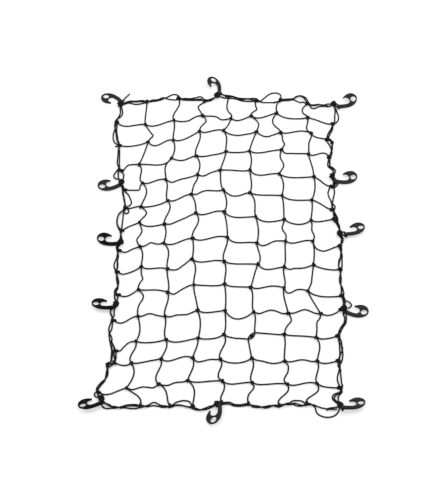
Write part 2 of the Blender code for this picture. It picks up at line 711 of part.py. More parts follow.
def prism(name, outline, low, high):
    """A solid with the given plan between two heights."""
    bm = bmesh.new()
    bottom = [bm.verts.new((x * MM, y * MM, low * MM)) for x, y in outline]
    top = [bm.verts.new((x * MM, y * MM, high * MM)) for x, y in outline]
    bm.faces.new(bottom[::-1])
    bm.faces.new(top)
    for index in range(len(outline)):
        after = (index + 1) % len(outline)
        bm.faces.new([bottom[index], bottom[after], top[after], top[index]])
    mesh = mesh_from(bm, name)
    item = bpy.data.objects.new(name, mesh)
    bpy.context.scene.collection.objects.link(item)
    return item


def build_hook():
    """One hook's mesh: the moulded plate with its eye and its cross slot cut through."""
    body = prism("hook_body", hook_outline(), 0.0, HOOK_THICK)
    tilt = math.radians(EYE_TILT)
    eye_plan = []
    for index in range(12):
        angle = 2 * math.pi * (index + 0.5) / 12
        long = EYE_HALF[0] * math.cos(angle)
        short = EYE_HALF[1] * math.sin(angle)
        eye_x = EYE_CENTRE[0] + long * math.cos(tilt) - short * math.sin(tilt)
        eye_y = EYE_CENTRE[1] + long * math.sin(tilt) + short * math.cos(tilt)
        eye_plan.append((eye_x, eye_y))
    eye = prism("eye_cutter", eye_plan, -1.0, HOOK_THICK + 1.0)
    half = SLOT_WIDE / 2
    slot_plan = [(-half, -8.0), (half, -8.0), (half, 8.0), (-half, 8.0)]
    slot_low = (HOOK_THICK - SLOT_HIGH) / 2
    slot = prism("slot_cutter", slot_plan, slot_low, slot_low + SLOT_HIGH)
    for cutter in (eye, slot):
        cutter.hide_render = True
        cutter.display_type = "WIRE"
        cut = body.modifiers.new(cutter.name, "BOOLEAN")
        cut.operation = "DIFFERENCE"
        cut.solver = "EXACT"
        cut.object = cutter
    graph = bpy.context.evaluated_depsgraph_get()
    mesh = bpy.data.meshes.new_from_object(body.evaluated_get(graph))
    mesh.name = "hook"
    for item in (body, eye, slot):
        bpy.data.objects.remove(item, do_unlink=True)
    return mesh


def place_hook(hook, mesh, material):
    name, x, y, degrees, turned, _, _ = hook
    item = add_object(name, mesh, material)
    item.location = Vector((x - MIDDLE_X, y - MIDDLE_Y, HOOK_THICK if turned else 0.0)) * MM
    item.rotation_euler = (math.pi if turned else 0.0, 0.0, math.radians(degrees))


def main():
    remove_everything()
    runs = border_runs()
    add_object("net_mesh", build_mesh(border_track(runs)), make_material("mesh_cord", CORD_COLOUR, 0.75))
    add_object("border_cord", build_border(runs), make_material("border_cord", CORD_COLOUR, 0.75))
    hook_mesh = build_hook()
    hook_plastic = make_material("hook_plastic", HOOK_COLOUR, 0.45)
    for hook in HOOKS:
        place_hook(hook, hook_mesh, hook_plastic)


main()
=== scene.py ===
"""Looks of the stretch cargo net: round braided cords, real knots, a doubled border cord and moulded hooks.

Tables are in millimetres in the net's own plan, as in the part's own source: x to the right, y away from the
reader. Everything is built in the frame's metres.
"""

import math

import bmesh
import bpy
import numpy as np
from mathutils import Matrix, Vector
from mathutils.geometry import tessellate_polygon


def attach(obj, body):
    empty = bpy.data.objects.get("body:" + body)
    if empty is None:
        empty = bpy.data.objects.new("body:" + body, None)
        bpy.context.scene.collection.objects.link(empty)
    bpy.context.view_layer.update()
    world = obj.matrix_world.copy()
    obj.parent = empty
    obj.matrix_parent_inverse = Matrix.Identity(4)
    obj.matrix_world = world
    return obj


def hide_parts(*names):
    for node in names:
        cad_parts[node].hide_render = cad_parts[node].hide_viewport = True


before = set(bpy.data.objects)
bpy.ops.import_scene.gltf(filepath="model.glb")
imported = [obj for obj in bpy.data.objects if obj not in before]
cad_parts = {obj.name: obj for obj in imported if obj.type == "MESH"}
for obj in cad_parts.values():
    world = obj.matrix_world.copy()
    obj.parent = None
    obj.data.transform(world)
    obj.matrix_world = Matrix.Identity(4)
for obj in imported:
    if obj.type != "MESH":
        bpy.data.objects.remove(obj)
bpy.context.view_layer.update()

MM = 0.001
SEED = 7

# The plan's middle in the frame
MIDDLE_X = 2.8
MIDDLE_Y = 16.1

# Camera: what it looks at on the floor, in the plan, how high it stands in degrees and how far off, its lens
# and sensor in millimetres, and how far it sees in metres
LOOK_AT = (-7.0, -17.0)
CAMERA_ELEVATION = 52.0
CAMERA_DISTANCE = 4460.0
CAMERA_LENS = 130.0
CAMERA_SENSOR = 36.0
CAMERA_REACH = 50.0

# Light: an even white room, one soft box above, and a floor that holds back most of the shadows. Lengths and
# places here are in metres.
ROOM_LIGHT = 0.95
SOFT_BOX_WATTS = 40.0
SOFT_BOX_SIDE = 3.0
SOFT_BOX_PLACE = (0.4, 1.2, 3.0)
FLOOR_SIDE = 12.0
FLOOR_WHITE = 0.62
FLOOR_GLOW = 0.36
FLOOR_ROUGH = 0.9

# Materials: the darkest and the lightest tone of each, how strongly it mirrors, and the braid's yarns and pitch
MESH_TONES = ((0.004, 0.004, 0.0045), (0.018, 0.018, 0.019))
MESH_YARNS = 8.0
MESH_PITCH = 12.0
BORDER_TONES = ((0.004, 0.004, 0.0045), (0.016, 0.016, 0.017))
BORDER_YARNS = 10.0
BORDER_PITCH = 14.0
CORD_SHINE = 0.1
# The hooks' plastic: its darkest tone is painted shade on the rounded edges and its lightest is painted light
# on the flat faces. The second pair is a darker, duller copy of the same plastic, painted shade for the three
# shaded hooks.
LIT_HOOK_TONES = ((0.004, 0.004, 0.0045), (0.016, 0.016, 0.017))
LIT_HOOK_SHINE = 0.15
SHADED_HOOK_TONES = ((0.002, 0.002, 0.0024), (0.005, 0.005, 0.0055))
SHADED_HOOK_SHINE = 0.04

# Cords
CORD_RADIUS = 1.95
CORD_SIDES = 8
CORD_OVERLAP = 1.2
KNOT_REST = 4.0
KNOT_SLOPE = 13.0
KNOT_REACH = 4.1
KNOT_RISE = 1.7
KNOT_STEPS = 24
HARD_KNOT_REST = 5.0
HARD_KNOT_REACH = 4.2
HARD_KNOT_RISE = 2.0
STOPPER_REACH = 6.6
STOPPER_RISE = 3.4
STOPPER_CENTRE = 7.6
STOPPER_LIFTS = (1.4, -0.8, 0.6)
STOPPER_STEPS = 40
PAIR_HALF = 2.0
RUNNER_HEIGHT = 4.6
TWIST_PITCH = 30.0
HITCH_ACROSS = 4.9
HITCH_UP = 3.4
HITCH_TURNS = 2.2
HITCH_LONG = 5.5
HITCH_STEPS = 14

# How far apart the points of a smooth way lie, and the opening under which the border's cords are twisted
BORDER_SPACING = 2.5
STRAND_SPACING = 3.0
FINE_SPACING = 1.5
TIGHT_OPENING = 2.0

# The bight's way through a hook's cross slot: u and v, as for the hooks
BIGHT_TURNS = [(-1.6, 8.0), (0.0, 4.6), (0.0, -4.6), (-1.6, -8.0)]

# Hooks: u runs out along the shank from its cross slot, v to the side of the hook's point. Angles are in
# degrees.
HOOK_THICK = 6.0
HOOK_THIN = 4.8
HOOK_BEVEL = 1.3
HOOK_ROUND_STEPS = 3
HEAD_STARTS = 8.0
HEAD_THINS_OVER = 20.0
SLOT_WIDE = 4.4
SLOT_HIGH = 4.0
SLOT_CUT_LENGTH = 20.0
SHARP_ANGLE = 40.0
MITRE_LIMIT = 0.7
EYE_CENTRE = (43.7, 13.6)
EYE_HALF = (7.7, 7.0)
EYE_TILT = 40.0
EYE_STEPS = 36
THROAT_CENTRE = (24.3, 12.3)
THROAT_REACH = 9.1
THROAT_TURN = 10
HOOK_OUTSIDE = [
    (-4.5, -2.4), (-3.2, -4.4), (4, -5.2), (12, -6.3), (20, -6.8), (28, -6.4), (36, -4.6), (43, -1.3),
    (49, 3.6),
    (53, 9.2), (54.5, 15), (53.6, 20.8), (50, 26.2), (44.6, 29.9), (38.2, 31.3), (31.8, 30.6), (25.8, 28.2),
    (21.4, 25.4), (18.4, 23.6), (17.3, 22.2), (17.6, 20.9), (19.2, 20.4), (21.6, 21),
]
SHANK_FRONT = [(18, 2.9), (11, 3.3), (4, 4.3), (-3.2, 4.8), (-4.5, 3)]

# Every knot's x, y. Row 0 is the far border and row 14 the near one; each row runs from the left border
# through mesh columns 1 to 7 to the right border.
KNOTS = [
    [(-275, 471), (-206, 476), (-124, 489), (-54, 478), (9, 493), (81, 481), (145, 481), (217, 469),
     (289, 465)],
    [(-283, 404), (-209, 396), (-134, 410), (-60, 427), (15, 417), (68, 425), (135, 436), (216, 419),
     (280, 397)],
    [(-273, 323), (-200, 335), (-135, 341), (-67, 372), (-5, 375), (81, 370), (144, 367), (223, 366),
     (264, 343)],
    [(-265, 237), (-221, 258), (-138, 280), (-75, 287), (2, 302), (62, 304), (145, 308), (214, 294),
     (267, 282)],
    [(-254, 173), (-210, 196), (-152, 208), (-71, 224), (-13, 239), (63, 239), (137, 227), (226, 217),
     (269, 184)],
    [(-251, 115), (-213, 118), (-145, 138), (-86, 159), (-5, 173), (62, 164), (143, 155), (218, 140),
     (268, 108)],
    [(-257, 41), (-215, 67), (-152, 62), (-74, 98), (-3, 102), (76, 86), (147, 77), (214, 74), (272, 78)],
    [(-262, -22), (-211, -10), (-153, 2), (-81, 17), (5, 20), (78, 2), (149, 8), (216, 8), (283, -7)],
    [(-264, -89), (-206, -72), (-142, -79), (-82, -48), (-3, -56), (80, -64), (144, -73), (216, -66),
     (281, -80)],
    [(-259, -158), (-211, -142), (-140, -150), (-77, -127), (-2, -125), (61, -135), (142, -136), (200, -146),
     (281, -161)],
    [(-267, -234), (-210, -222), (-145, -222), (-67, -204), (-1, -205), (68, -209), (151, -213), (229, -214),
     (278, -202)],
    [(-259, -323), (-213, -295), (-141, -290), (-65, -286), (-4, -275), (64, -279), (140, -275), (216, -284),
     (267, -280)],
    [(-261, -356), (-221, -358), (-152, -346), (-77, -343), (-12, -347), (62, -344), (139, -352), (216, -352),
     (265, -352)],
    [(-295, -440), (-231, -428), (-156, -417), (-88, -407), (-8, -408), (62, -413), (144, -417), (214, -416),
     (266, -428)],
    [(-288, -458), (-197, -477), (-129, -477), (-76, -479), (-9, -468), (53, -471), (124, -476), (187, -471),
     (266, -477)],
]

# One mesh knot has slipped into a drawn-out loop: its row and column, the loop's two ends (the left and the
# near cord leave by the first, the right and the far one by the second), the middle of the turns still
# tied in it, and how far each side of the loop bows out
SLIPPED_KNOT = (11, 5)
SLIPPED_ENDS = [(54, -289), (70, -270)]
SLIPPED_TURNS = (63, -280)
SLIPPED_BOW = 3.2

# The near border's row and the right border's column
LAST_ROW = len(KNOTS) - 1
LAST_COLUMN = len(KNOTS[0]) - 1

# How far each slack cord bows from the straight line between its knots: two values are at a quarter and
# three quarters of the way, three have the middle between them, and five are at each sixth. Crosswise
# cords: one list for each row from 1 to 13, from the left border to the right one, away from the reader
# positive.
CROSS_BOWS = [
    [(-10, -2), (-8, -1), (-5, -8, -8, -2, 2), (1, 3, 2, -6, -4), (-8, -3), (-8, -2), (-9, -6), (2, -2)],
    [(-5, -4), (-13, 1), (-7, -3), (-3, 4), (-9, -13, -13, -9, -5), (-8, -13, -13, -8, -3), (1, 8), (-5, -1)],
    [(2, 8, 11, 9, 5), (-4, -13), (-6, -9, -9, -5, -1), (-3, -4, -3, -3, -2), (-2, -2), (-6, 0),
     (-8, -6, -4, -2, 0), (0, 13)],
    [(-4, -8, -12, -15, -4), (-2, 4), (-11, -8, -5, -4, -2), (-6, -6, -2, 0, 1), (2, -1), (-11, -2), (-7, -3),
     (1, 1, -1, -2, -2)],
    [(-2, 2), (-4, -4), (-4, 2), (-1, 5, 7, 4, 1), (-8, -14, -14, -10, -3), (-3, 0), (-7, -3), (3, 0)],
    [(3, 2), (-8, -4), (-5, -4, -3, -2, 0), (-5, 4), (-10, -4), (-10, -6), (-9, -10), (-4, -1)],
    [(-6, -7, -4, -1, 0), (1, 5, 9, 3, 0), (-7, 1), (-5, 5), (-9, -1), (-8, -6, 0, 4, 3), (-5, 3),
     (-18, -23, -23, -15, -6)],
    [(-8, -9, -8, -6, -3), (-3, 3), (-8, -11, -8, -5, -1), (-6, 3), (-3, 0), (-11, -4), (-7, -5, -6, -6, -3),
     (-4, -4)],
    [(-8, -4), (2, 5), (-9, -7, -3, 0, 2), (-1, -3), (-3, 0), (-2, 0, 4, 6, 5), (-13, -10, -1, 3, 3),
     (-8, -5)],
    [(-10, 0), (2, 8, 9, 5, 2), (-3, -1, -3, -5, -2), (-5, -1), (-18, -14), (-3, 4, 9, 6, 0),
     (2, 8, 13, 9, 2),
     (-7, -5)],
    [(-4, 0, 3, 6, 5), (-4, -3), (-7, -2), (-4, -5), (-3, -3, -3, -1, 0), (1, 0), (0, 2), (-4, -2)],
    [(-4, -5), (-1, 1), (-5, 6), (-9, -7, -3, 0, 0), (-8, -8), (-3, -4, -7, -8, -5), (-1, 2, 5, 4, 0),
     (-5, -2)],
    [(-8, -2), (-5, -3, -1, -4, -7), (-4, -5, -1, 0, -1), (-3, 1), (-6, 0), (-3, 2), (-2, 5), (-3, -1)],
]

# Lengthwise cords: one list for each row of meshes from the far border to the near one, columns 1 to 7, to
# the right positive.
LENGTH_BOWS = [
    [(0, -1), (6, -4), (-6, -14, -13, -8, -3), (-3, -6, -7, -4, 3), (1, 4, 9, 3, -2), (-5, -3),
     (-8, -13, -14, -11, -2)],
    [(4, 8, 12, 16, 6), (2, 0), (10, 12, 7, 2, 0), (2, 2), (9, 13, 8), (-9, -14, -14, -9, -1), (-2, -8)],
    [(1, 1), (5, 4), (4, -3), (6, 2), (-1, -1), (4, 4, 6, 9, 4), (2, -1, -2, -1, 0)],
    [(4, -4), (-8, -9, -4), (7, 5), (1, 0), (4, 3), (-2, 0, 7, 10, 5), (1, 2)],
    [(11, 5), (3, -2), (3, 1, -1, -1, 0), (-1, -3), (2, 4), (7, 5), (4, 4)],
    [(11, 16, 14, 8, 3), (8, 0), (4, 3), (5, 6), (7, 2), (2, 1), (2, 1)],
    [(4, 6, 1, -7, -5), (4, 3), (9, -1), (2, 2), (4, 4), (-2, -6, -4, 2, 2), (2, 1, 1, 5, 5)],
    [(5, 2), (9, 2), (2, 2), (1, -4), (2, 6), (0, 2), (3, 2)],
    [(1, 3, 7, 2, -1), (0, 3), (7, 2), (4, 1), (-1, 0), (-1, 3), (1, 2, 3, 4, 2)],
    [(11, 11, 4, 0, -1), (3, -2), (-1, 1), (2, 2), (3, -1), (-3, -1), (-1, 0)],
    [(5, 6), (1, -3), (5, 4), (2, 3), (3, 3, 2, 1, 0), (8, 10, 5, 1, 0), (0, -5, -4, -2, -1)],
    [(2, -6), (5, 2), (2, 0), (6, -3), (0, 0), (2, 0), (7, 3)],
    [(9, 6), (1, -8), (5, 1), (2, -8), (4, -3), (7, 7, 4, -3, -6), (3, -3)],
    [(5, 10), (8, 2), (10, 5), (6, -2), (6, 3, -2, -4, -3), (7, -5), (9, -3)],
]

# Hooks, clockwise from the far left corner: name, x and y of the cross slot, the way the shank points,
# whether the hook lies turned over, its roll about the shank, and x and y of its stopper knot. Angles are in
# degrees.
HOOKS = [
    ("hook_01", -273.4, 476.0, 137.0, False, 0, -276, 465),
    ("hook_02", -17.2, 506.6, 92.0, False, 18, -22, 496),
    ("hook_03", 298.3, 458.9, 15.0, False, 18, 285, 466),
    ("hook_04", 282.0, 201.5, 0.0, False, 9, 272, 217),
    ("hook_05", 299.0, 26.7, 15.0, False, -8, 284, 31),
    ("hook_06", 287.2, -207.3, -20.0, False, 5, 285, -200),
    ("hook_07", 270.4, -487.3, 4.0, False, -16, 265, -477),
    ("hook_08", -15.5, -473.8, 270.0, True, -18, -20, -474),
    ("hook_09", -284.9, -469.6, 206.0, True, -17, -288, -458),
    ("hook_10", -268.0, -197.0, 181.0, True, -12, -264, -187),
    ("hook_11", -264.0, 1.0, 180.0, True, 4, -259, 3),
    ("hook_12", -266.6, 191.0, 205.0, True, 2, -264, 197),
]

# The three hooks at the left side's near end, which take a darker, duller copy of the same plastic as painted
# shade
SHADED_HOOKS = ("hook_09", "hook_10", "hook_11")

# The border cord's way between the stopper knots, clockwise, one run for each pair of hooks: x, y, and how
# far apart its two cords lie (0 where they lie together)
BORDER = [
    # far side, left half
    [(-254, 476, 6), (-235, 474, 12), (-217, 477, 10), (-205, 476, 0), (-193, 481, 5), (-180, 483, 4),
     (-168, 487, 0), (-159, 490, 0), (-146, 492, 13), (-134, 494, 20), (-126, 491, 15), (-120, 487, 0),
     (-108, 487, 6), (-93, 486, 6), (-74, 488, 10), (-65, 489, 13), (-54, 482, 0), (-43, 481, 0),
     (-33, 486, 0)],
    # far side, right half
    [(-9, 499, 10), (-2, 495, 8), (3, 493, 5), (10, 493, 6), (20, 493, 6), (29, 490, 5), (47, 485, 9),
     (66, 484, 10), (77, 485, 10), (84, 480, 0), (91, 478, 0), (100, 480, 11), (112, 485, 22), (121, 489, 31),
     (132, 492, 35), (139, 489, 30), (144, 486, 15), (150, 484, 6), (166, 485, 5), (180, 487, 4),
     (190, 488, 19),
     (200, 487, 24), (210, 482, 16), (217, 469, 0), (222, 466, 0), (231, 459, 11), (240, 461, 8),
     (247, 464, 7),
     (262, 464, 5), (271, 465, 10)],
    # right side, from the far corner
    [(290, 450, 0), (291, 440, 5), (292, 425, 10), (291, 413, 9), (288, 405, 5), (281, 396, 0), (279, 385, 0),
     (275, 375, 5), (269, 362, 5), (266, 350, 4), (267, 341, 8), (272, 332, 10), (274, 322, 6), (275, 312, 0),
     (274, 300, 0), (270, 288, 5), (268, 277, 0), (266, 266, 5), (266, 254, 5), (275, 245, 6), (279, 236, 5)],
    [(277, 195, 0), (271, 181, 11), (269, 170, 15), (268, 162, 16), (268, 150, 11), (269, 139, 5),
     (269, 131, 0),
     (273, 119, 7), (272, 109, 0), (273, 95, 0), (275, 83, 7), (276, 75, 8), (279, 67, 0), (283, 55, 0),
     (285, 43, 0)],
    [(290, 17, 4), (288, 3, 0), (285, -8, 0), (286, -28, 0), (285, -45, 4), (283, -58, 7), (282, -70, 8),
     (282, -80, 0), (281, -100, 0), (280, -120, 0), (283, -137, 0), (284, -150, 6), (284, -161, 4),
     (287, -175, 5)],
    [(286, -213, 6), (288, -225, 4), (286, -240, 4), (280, -250, 4), (274, -262, 4), (270, -275, 0),
     (270, -283, 0), (273, -295, 5), (273, -312, 5), (274, -328, 7), (272, -345, 7), (268, -357, 6),
     (267, -366, 0), (269, -372, 0), (267, -387, 6), (266, -400, 9), (267, -412, 8), (270, -422, 6),
     (269, -430, 0), (270, -437, 0), (257, -448, 12), (255, -455, 14), (258, -463, 8)],
    # near side, from the right corner
    [(256, -486, 14), (247, -492, 23), (234, -496, 23), (220, -491, 21), (212, -482, 10), (206, -476, 0),
     (197, -473, 0), (187, -472, 0), (178, -470, 12), (168, -469, 15), (157, -467, 10), (150, -470, 5),
     (142, -471, 0), (134, -474, 0), (125, -477, 0), (112, -476, 0), (100, -479, 0), (91, -480, 0),
     (78, -480, 0), (64, -477, 0), (54, -473, 0), (45, -474, 0), (33, -475, 4), (20, -474, 4), (10, -469, 5),
     (-2, -469, 4)],
    [(-32, -479, 0), (-46, -484, 0), (-59, -488, 0), (-68, -486, 0), (-77, -481, 0), (-86, -472, 14),
     (-95, -469, 15), (-105, -469, 12), (-114, -471, 8), (-127, -478, 0), (-142, -479, 0), (-154, -475, 5),
     (-166, -471, 9), (-176, -475, 4), (-186, -478, 0), (-196, -478, 0), (-205, -478, 10), (-218, -478, 11),
     (-231, -478, 7), (-245, -481, 0), (-258, -481, 0), (-270, -478, 11), (-280, -474, 12)],
    # left side, from the near corner
    [(-300, -446, 9), (-298, -438, 5), (-298, -430, 0), (-296, -424, 5), (-291, -416, 0), (-283, -407, 0),
     (-279, -397, 0), (-277, -380, 0), (-276, -368, 0), (-276, -361, 0), (-266, -353, 8), (-264, -345, 11),
     (-264, -335, 11), (-264, -325, 10), (-266, -315, 8), (-269, -305, 6), (-272, -295, 4), (-273, -285, 6),
     (-276, -272, 0), (-275, -258, 7), (-273, -244, 5), (-271, -230, 0), (-270, -217, 6), (-272, -205, 9)],
    [(-264, -165, 8), (-265, -156, 6), (-267, -146, 0), (-262, -137, 0), (-261, -125, 0), (-263, -110, 0),
     (-265, -96, 0), (-266, -86, 0), (-269, -70, 8), (-268, -55, 6), (-265, -40, 0), (-265, -22, 0),
     (-267, -9, 0)],
    [(-259, 25, 0), (-260, 39, 0), (-262, 50, 8), (-264, 68, 14), (-263, 84, 14), (-261, 96, 11),
     (-257, 104, 5),
     (-253, 111, 0), (-251, 117, 0), (-245, 130, 16), (-248, 145, 16), (-251, 157, 12), (-256, 167, 6),
     (-258, 177, 4)],
    [(-266, 212, 14), (-271, 222, 27), (-272, 233, 16), (-272, 241, 7), (-271, 248, 0), (-274, 262, 5),
     (-274, 275, 5), (-274, 290, 4), (-274, 303, 0), (-274, 313, 0), (-273, 323, 0), (-279, 333, 9),
     (-283, 340, 11), (-285, 352, 12), (-286, 365, 9), (-285, 378, 5), (-284, 395, 4), (-284, 410, 0),
     (-280, 418, 0), (-275, 427, 5), (-272, 437, 6), (-273, 448, 5)],
]

# Further strands of the same cord that lie along the border for a while: x and y
RUNNERS = [
    [(-262, 474), (-250, 475), (-235, 475), (-222, 476), (-210, 474), (-203, 478)],
    [(-120, 484), (-104, 484), (-88, 483), (-70, 484), (-60, 485)],
    [(-8, 501), (3, 498), (16, 496), (29, 491), (37, 487), (47, 483), (58, 486), (68, 483), (76, 482)],
    [(147, 482), (160, 482), (172, 483), (181, 487), (188, 493), (195, 496), (203, 494), (209, 487),
     (214, 476),
     (219, 467)],
    [(222, 465), (233, 464), (245, 466), (258, 463), (272, 460)],
    [(282, 397), (278, 382), (272, 370), (266, 358), (268, 348), (276, 338), (277, 328), (275, 316)],
    [(269, 285), (265, 272), (269, 260), (267, 252), (275, 243), (276, 234), (275, 226)],
    [(269, 131), (268, 120), (271, 108), (275, 97), (280, 84), (281, 74), (281, 62)],
    [(287, -38), (280, -50), (278, -62), (278, -72), (281, -81)],
    [(280, -148), (281, -158), (284, -168), (286, -182)],
    [(269, -284), (269, -296), (275, -306), (277, -318), (272, -332), (267, -346), (265, -358), (268, -370)],
    [(267, -442), (257, -448), (252, -455), (254, -462), (261, -468)],
    [(140, -474), (152, -472), (162, -471), (172, -475), (184, -477)],
    [(-76, -483), (-86, -481), (-98, -477), (-110, -475), (-122, -477)],
    [(-202, -479), (-212, -478), (-226, -478), (-240, -480)],
    [(-256, -481), (-268, -478), (-277, -471), (-283, -464)],
    [(-295, -452), (-297, -442), (-300, -430), (-296, -421)],
    [(-281, -357), (-279, -368), (-276, -378)],
    [(-278, -364), (-271, -355), (-268, -345), (-267, -330), (-269, -315), (-272, -302), (-273, -292)],
    [(-274, -370), (-266, -363), (-260, -355), (-261, -344), (-264, -330), (-263, -316), (-268, -304)],
    [(-273, -222), (-276, -212), (-276, -202)],
    [(-264, -176), (-268, -165), (-268, -155), (-267, -145)],
    [(-266, -50), (-264, -60), (-264, -74), (-266, -84)],
    [(-260, 44), (-266, 52), (-270, 64), (-270, 78), (-268, 90), (-262, 100), (-255, 108)],
    [(-253, 117), (-253, 130), (-255, 145), (-259, 158), (-260, 170), (-261, 182)],
    [(-268, 204), (-272, 214), (-273, 226), (-273, 240), (-270, 250)],
    [(-273, 320), (-278, 334), (-281, 346), (-283, 362), (-286, 378), (-288, 392), (-286, 404), (-283, 414)],
]

# Loose tails and small stray loops of the border cord: x, y and height of each point
TAILS = [
    [(-273, 470, 8), (-266, 486, 4), (-258, 496, 5), (-251, 503, 6)],
    [(-273, 318, 4), (-279, 320, 4), (-285, 319, 3)],
    [(291, -176, 5), (299, -180, 4), (304, -187, 3), (301, -194, 4), (294, -200, 6)],
    [(258, -487, 5), (246, -487, 4), (238, -486, 3), (232, -489, 3)],
    [(-250, 114, 5), (-243, 108, 3), (-242, 102, 3), (-246, 97, 3), (-252, 98, 3), (-256, 105, 5)],
    [(284, 202, 5), (286, 194, 4), (282, 186, 3), (275, 182, 3), (267, 184, 4)],
]

# Extra hard knots along the border: x, y
HARD_KNOTS = [(268, 109), (274, 73), (276, 332), (283, -10), (-276, -361)]


def in_frame(x, y, z=0.0):
    return Vector(((x - MIDDLE_X) * MM, (y - MIDDLE_Y) * MM, z * MM))


# ---------------------------------------------------------------- node helpers


def link_in(tree, socket, value):
    """Feeds a socket from another socket, or sets its plain value."""
    if isinstance(value, bpy.types.NodeSocket):
        tree.links.new(value, socket)
    elif value is not None:
        socket.default_value = value


def calculate(tree, operation, first, second=None, clamp=False):
    node = tree.nodes.new("ShaderNodeMath")
    node.operation = operation
    node.use_clamp = clamp
    link_in(tree, node.inputs[0], first)
    link_in(tree, node.inputs[1], second)
    return node.outputs[0]


# ---------------------------------------------------------------- materials


def make_braid_group():
    """Braid of a cord's sheath, from its UV map: U once round the cord, V in millimetres along it."""
    group = bpy.data.node_groups.new("braided_sheath", "ShaderNodeTree")
    face = group.interface
    face.new_socket("Yarns", in_out="INPUT", socket_type="NodeSocketFloat").default_value = 8.0
    face.new_socket("Pitch", in_out="INPUT", socket_type="NodeSocketFloat").default_value = 10.0
    face.new_socket("Height", in_out="OUTPUT", socket_type="NodeSocketFloat")
    face.new_socket("Fade", in_out="OUTPUT", socket_type="NodeSocketFloat")
    given = group.nodes.new("NodeGroupInput").outputs
    result = group.nodes.new("NodeGroupOutput").inputs
    uv = group.nodes.new("ShaderNodeUVMap")
    uv.uv_map = "cord"
    split = group.nodes.new("ShaderNodeSeparateXYZ")
    group.links.new(uv.outputs["UV"], split.inputs["Vector"])
    turns_along = calculate(group, "DIVIDE", split.outputs["Y"], given["Pitch"])
    waves = []
    for slant in ("ADD", "SUBTRACT"):
        turn = calculate(group, slant, split.outputs["X"], turns_along)
        phase = calculate(group, "MULTIPLY", calculate(group, "MULTIPLY", turn, given["Yarns"]), math.pi)
        waves.append(calculate(group, "ABSOLUTE", calculate(group, "SINE", phase)))
    group.links.new(calculate(group, "MAXIMUM", *waves), result["Height"])
    place = group.nodes.new("ShaderNodeTexCoord")
    noise = group.nodes.new("ShaderNodeTexNoise")
    noise.inputs["Scale"].default_value = 60.0
    noise.inputs["Detail"].default_value = 4.0
    group.links.new(place.outputs["Object"], noise.inputs["Vector"])
    group.links.new(noise.outputs["Fac"], result["Fade"])
    return group


def cord_material(name, braid, yarns, pitch, tones):
    """A black braided sheath: ridged yarns, faded here and there, matt with a slight sheen on the ridges."""
    material = bpy.data.materials.new(name)
    material.use_nodes = True
    tree = material.node_tree
    shader = tree.nodes["Principled BSDF"]
    sheath = tree.nodes.new("ShaderNodeGroup")
    sheath.node_tree = braid
    sheath.inputs["Yarns"].default_value = yarns
    sheath.inputs["Pitch"].default_value = pitch
    shade = tree.nodes.new("ShaderNodeMix")
    shade.data_type = "RGBA"
    shade.inputs[6].default_value = (*tones[0], 1.0)
    shade.inputs[7].default_value = (*tones[1], 1.0)
    worn = calculate(tree, "MULTIPLY", sheath.outputs["Height"], sheath.outputs["Fade"])
    tree.links.new(worn, shade.inputs[0])
    tree.links.new(shade.outputs[2], shader.inputs["Base Color"])
    rough = tree.nodes.new("ShaderNodeMapRange")
    rough.inputs["To Min"].default_value = 0.95
    rough.inputs["To Max"].default_value = 0.72
    tree.links.new(sheath.outputs["Height"], rough.inputs["Value"])
    tree.links.new(rough.outputs["Result"], shader.inputs["Roughness"])
    shader.inputs["Specular IOR Level"].default_value = CORD_SHINE
    bump = tree.nodes.new("ShaderNodeBump")
    bump.inputs["Strength"].default_value = 0.7
    bump.inputs["Distance"].default_value = 0.0003
    tree.links.new(sheath.outputs["Height"], bump.inputs["Height"])
    tree.links.new(bump.outputs["Normal"], shader.inputs["Normal"])
    return material


def plastic_material(name, tones, shine):
    """Black moulded plastic: finely grained faces and smoother edges; the flat faces are painted lighter in
    faint patches and the rounded edges darker, as painted light and shade.
    """
    material = bpy.data.materials.new(name)
    material.use_nodes = True
    tree = material.node_tree
    shader = tree.nodes["Principled BSDF"]
    place = tree.nodes.new("ShaderNodeTexCoord")
    grain = tree.nodes.new("ShaderNodeTexNoise")
    grain.inputs["Scale"].default_value = 2400.0
    grain.inputs["Detail"].default_value = 2.0
    patches = tree.nodes.new("ShaderNodeTexNoise")
    patches.inputs["Scale"].default_value = 90.0
    patches.inputs["Detail"].default_value = 5.0
    for texture in (grain, patches):
        tree.links.new(place.outputs["Object"], texture.inputs["Vector"])
    face = tree.nodes.new("ShaderNodeAttribute")
    face.attribute_name = "flat_face"
    # The flat faces take the lighter tone in faint random patches and the rounded edges keep the darkest:
    # painted light on the faces, painted shade on the edges
    lit_face_and_rubbed = calculate(tree, "MULTIPLY", patches.outputs["Fac"], face.outputs["Fac"])
    shade = tree.nodes.new("ShaderNodeMix")
    shade.data_type = "RGBA"
    shade.inputs[6].default_value = (*tones[0], 1.0)
    shade.inputs[7].default_value = (*tones[1], 1.0)
    tree.links.new(lit_face_and_rubbed, shade.inputs[0])
    tree.links.new(shade.outputs[2], shader.inputs["Base Color"])
    rough = tree.nodes.new("ShaderNodeMapRange")
    rough.inputs["To Min"].default_value = 0.34
    rough.inputs["To Max"].default_value = 0.58
    tree.links.new(lit_face_and_rubbed, rough.inputs["Value"])
    tree.links.new(rough.outputs["Result"], shader.inputs["Roughness"])
    shader.inputs["Specular IOR Level"].default_value = shine
    bump = tree.nodes.new("ShaderNodeBump")
    bump.inputs["Strength"].default_value = 0.25
    bump.inputs["Distance"].default_value = 0.0001
    tree.links.new(grain.outputs["Fac"], bump.inputs["Height"])
    tree.links.new(bump.outputs["Normal"], shader.inputs["Normal"])
    return material


# ---------------------------------------------------------------- geometry node trees


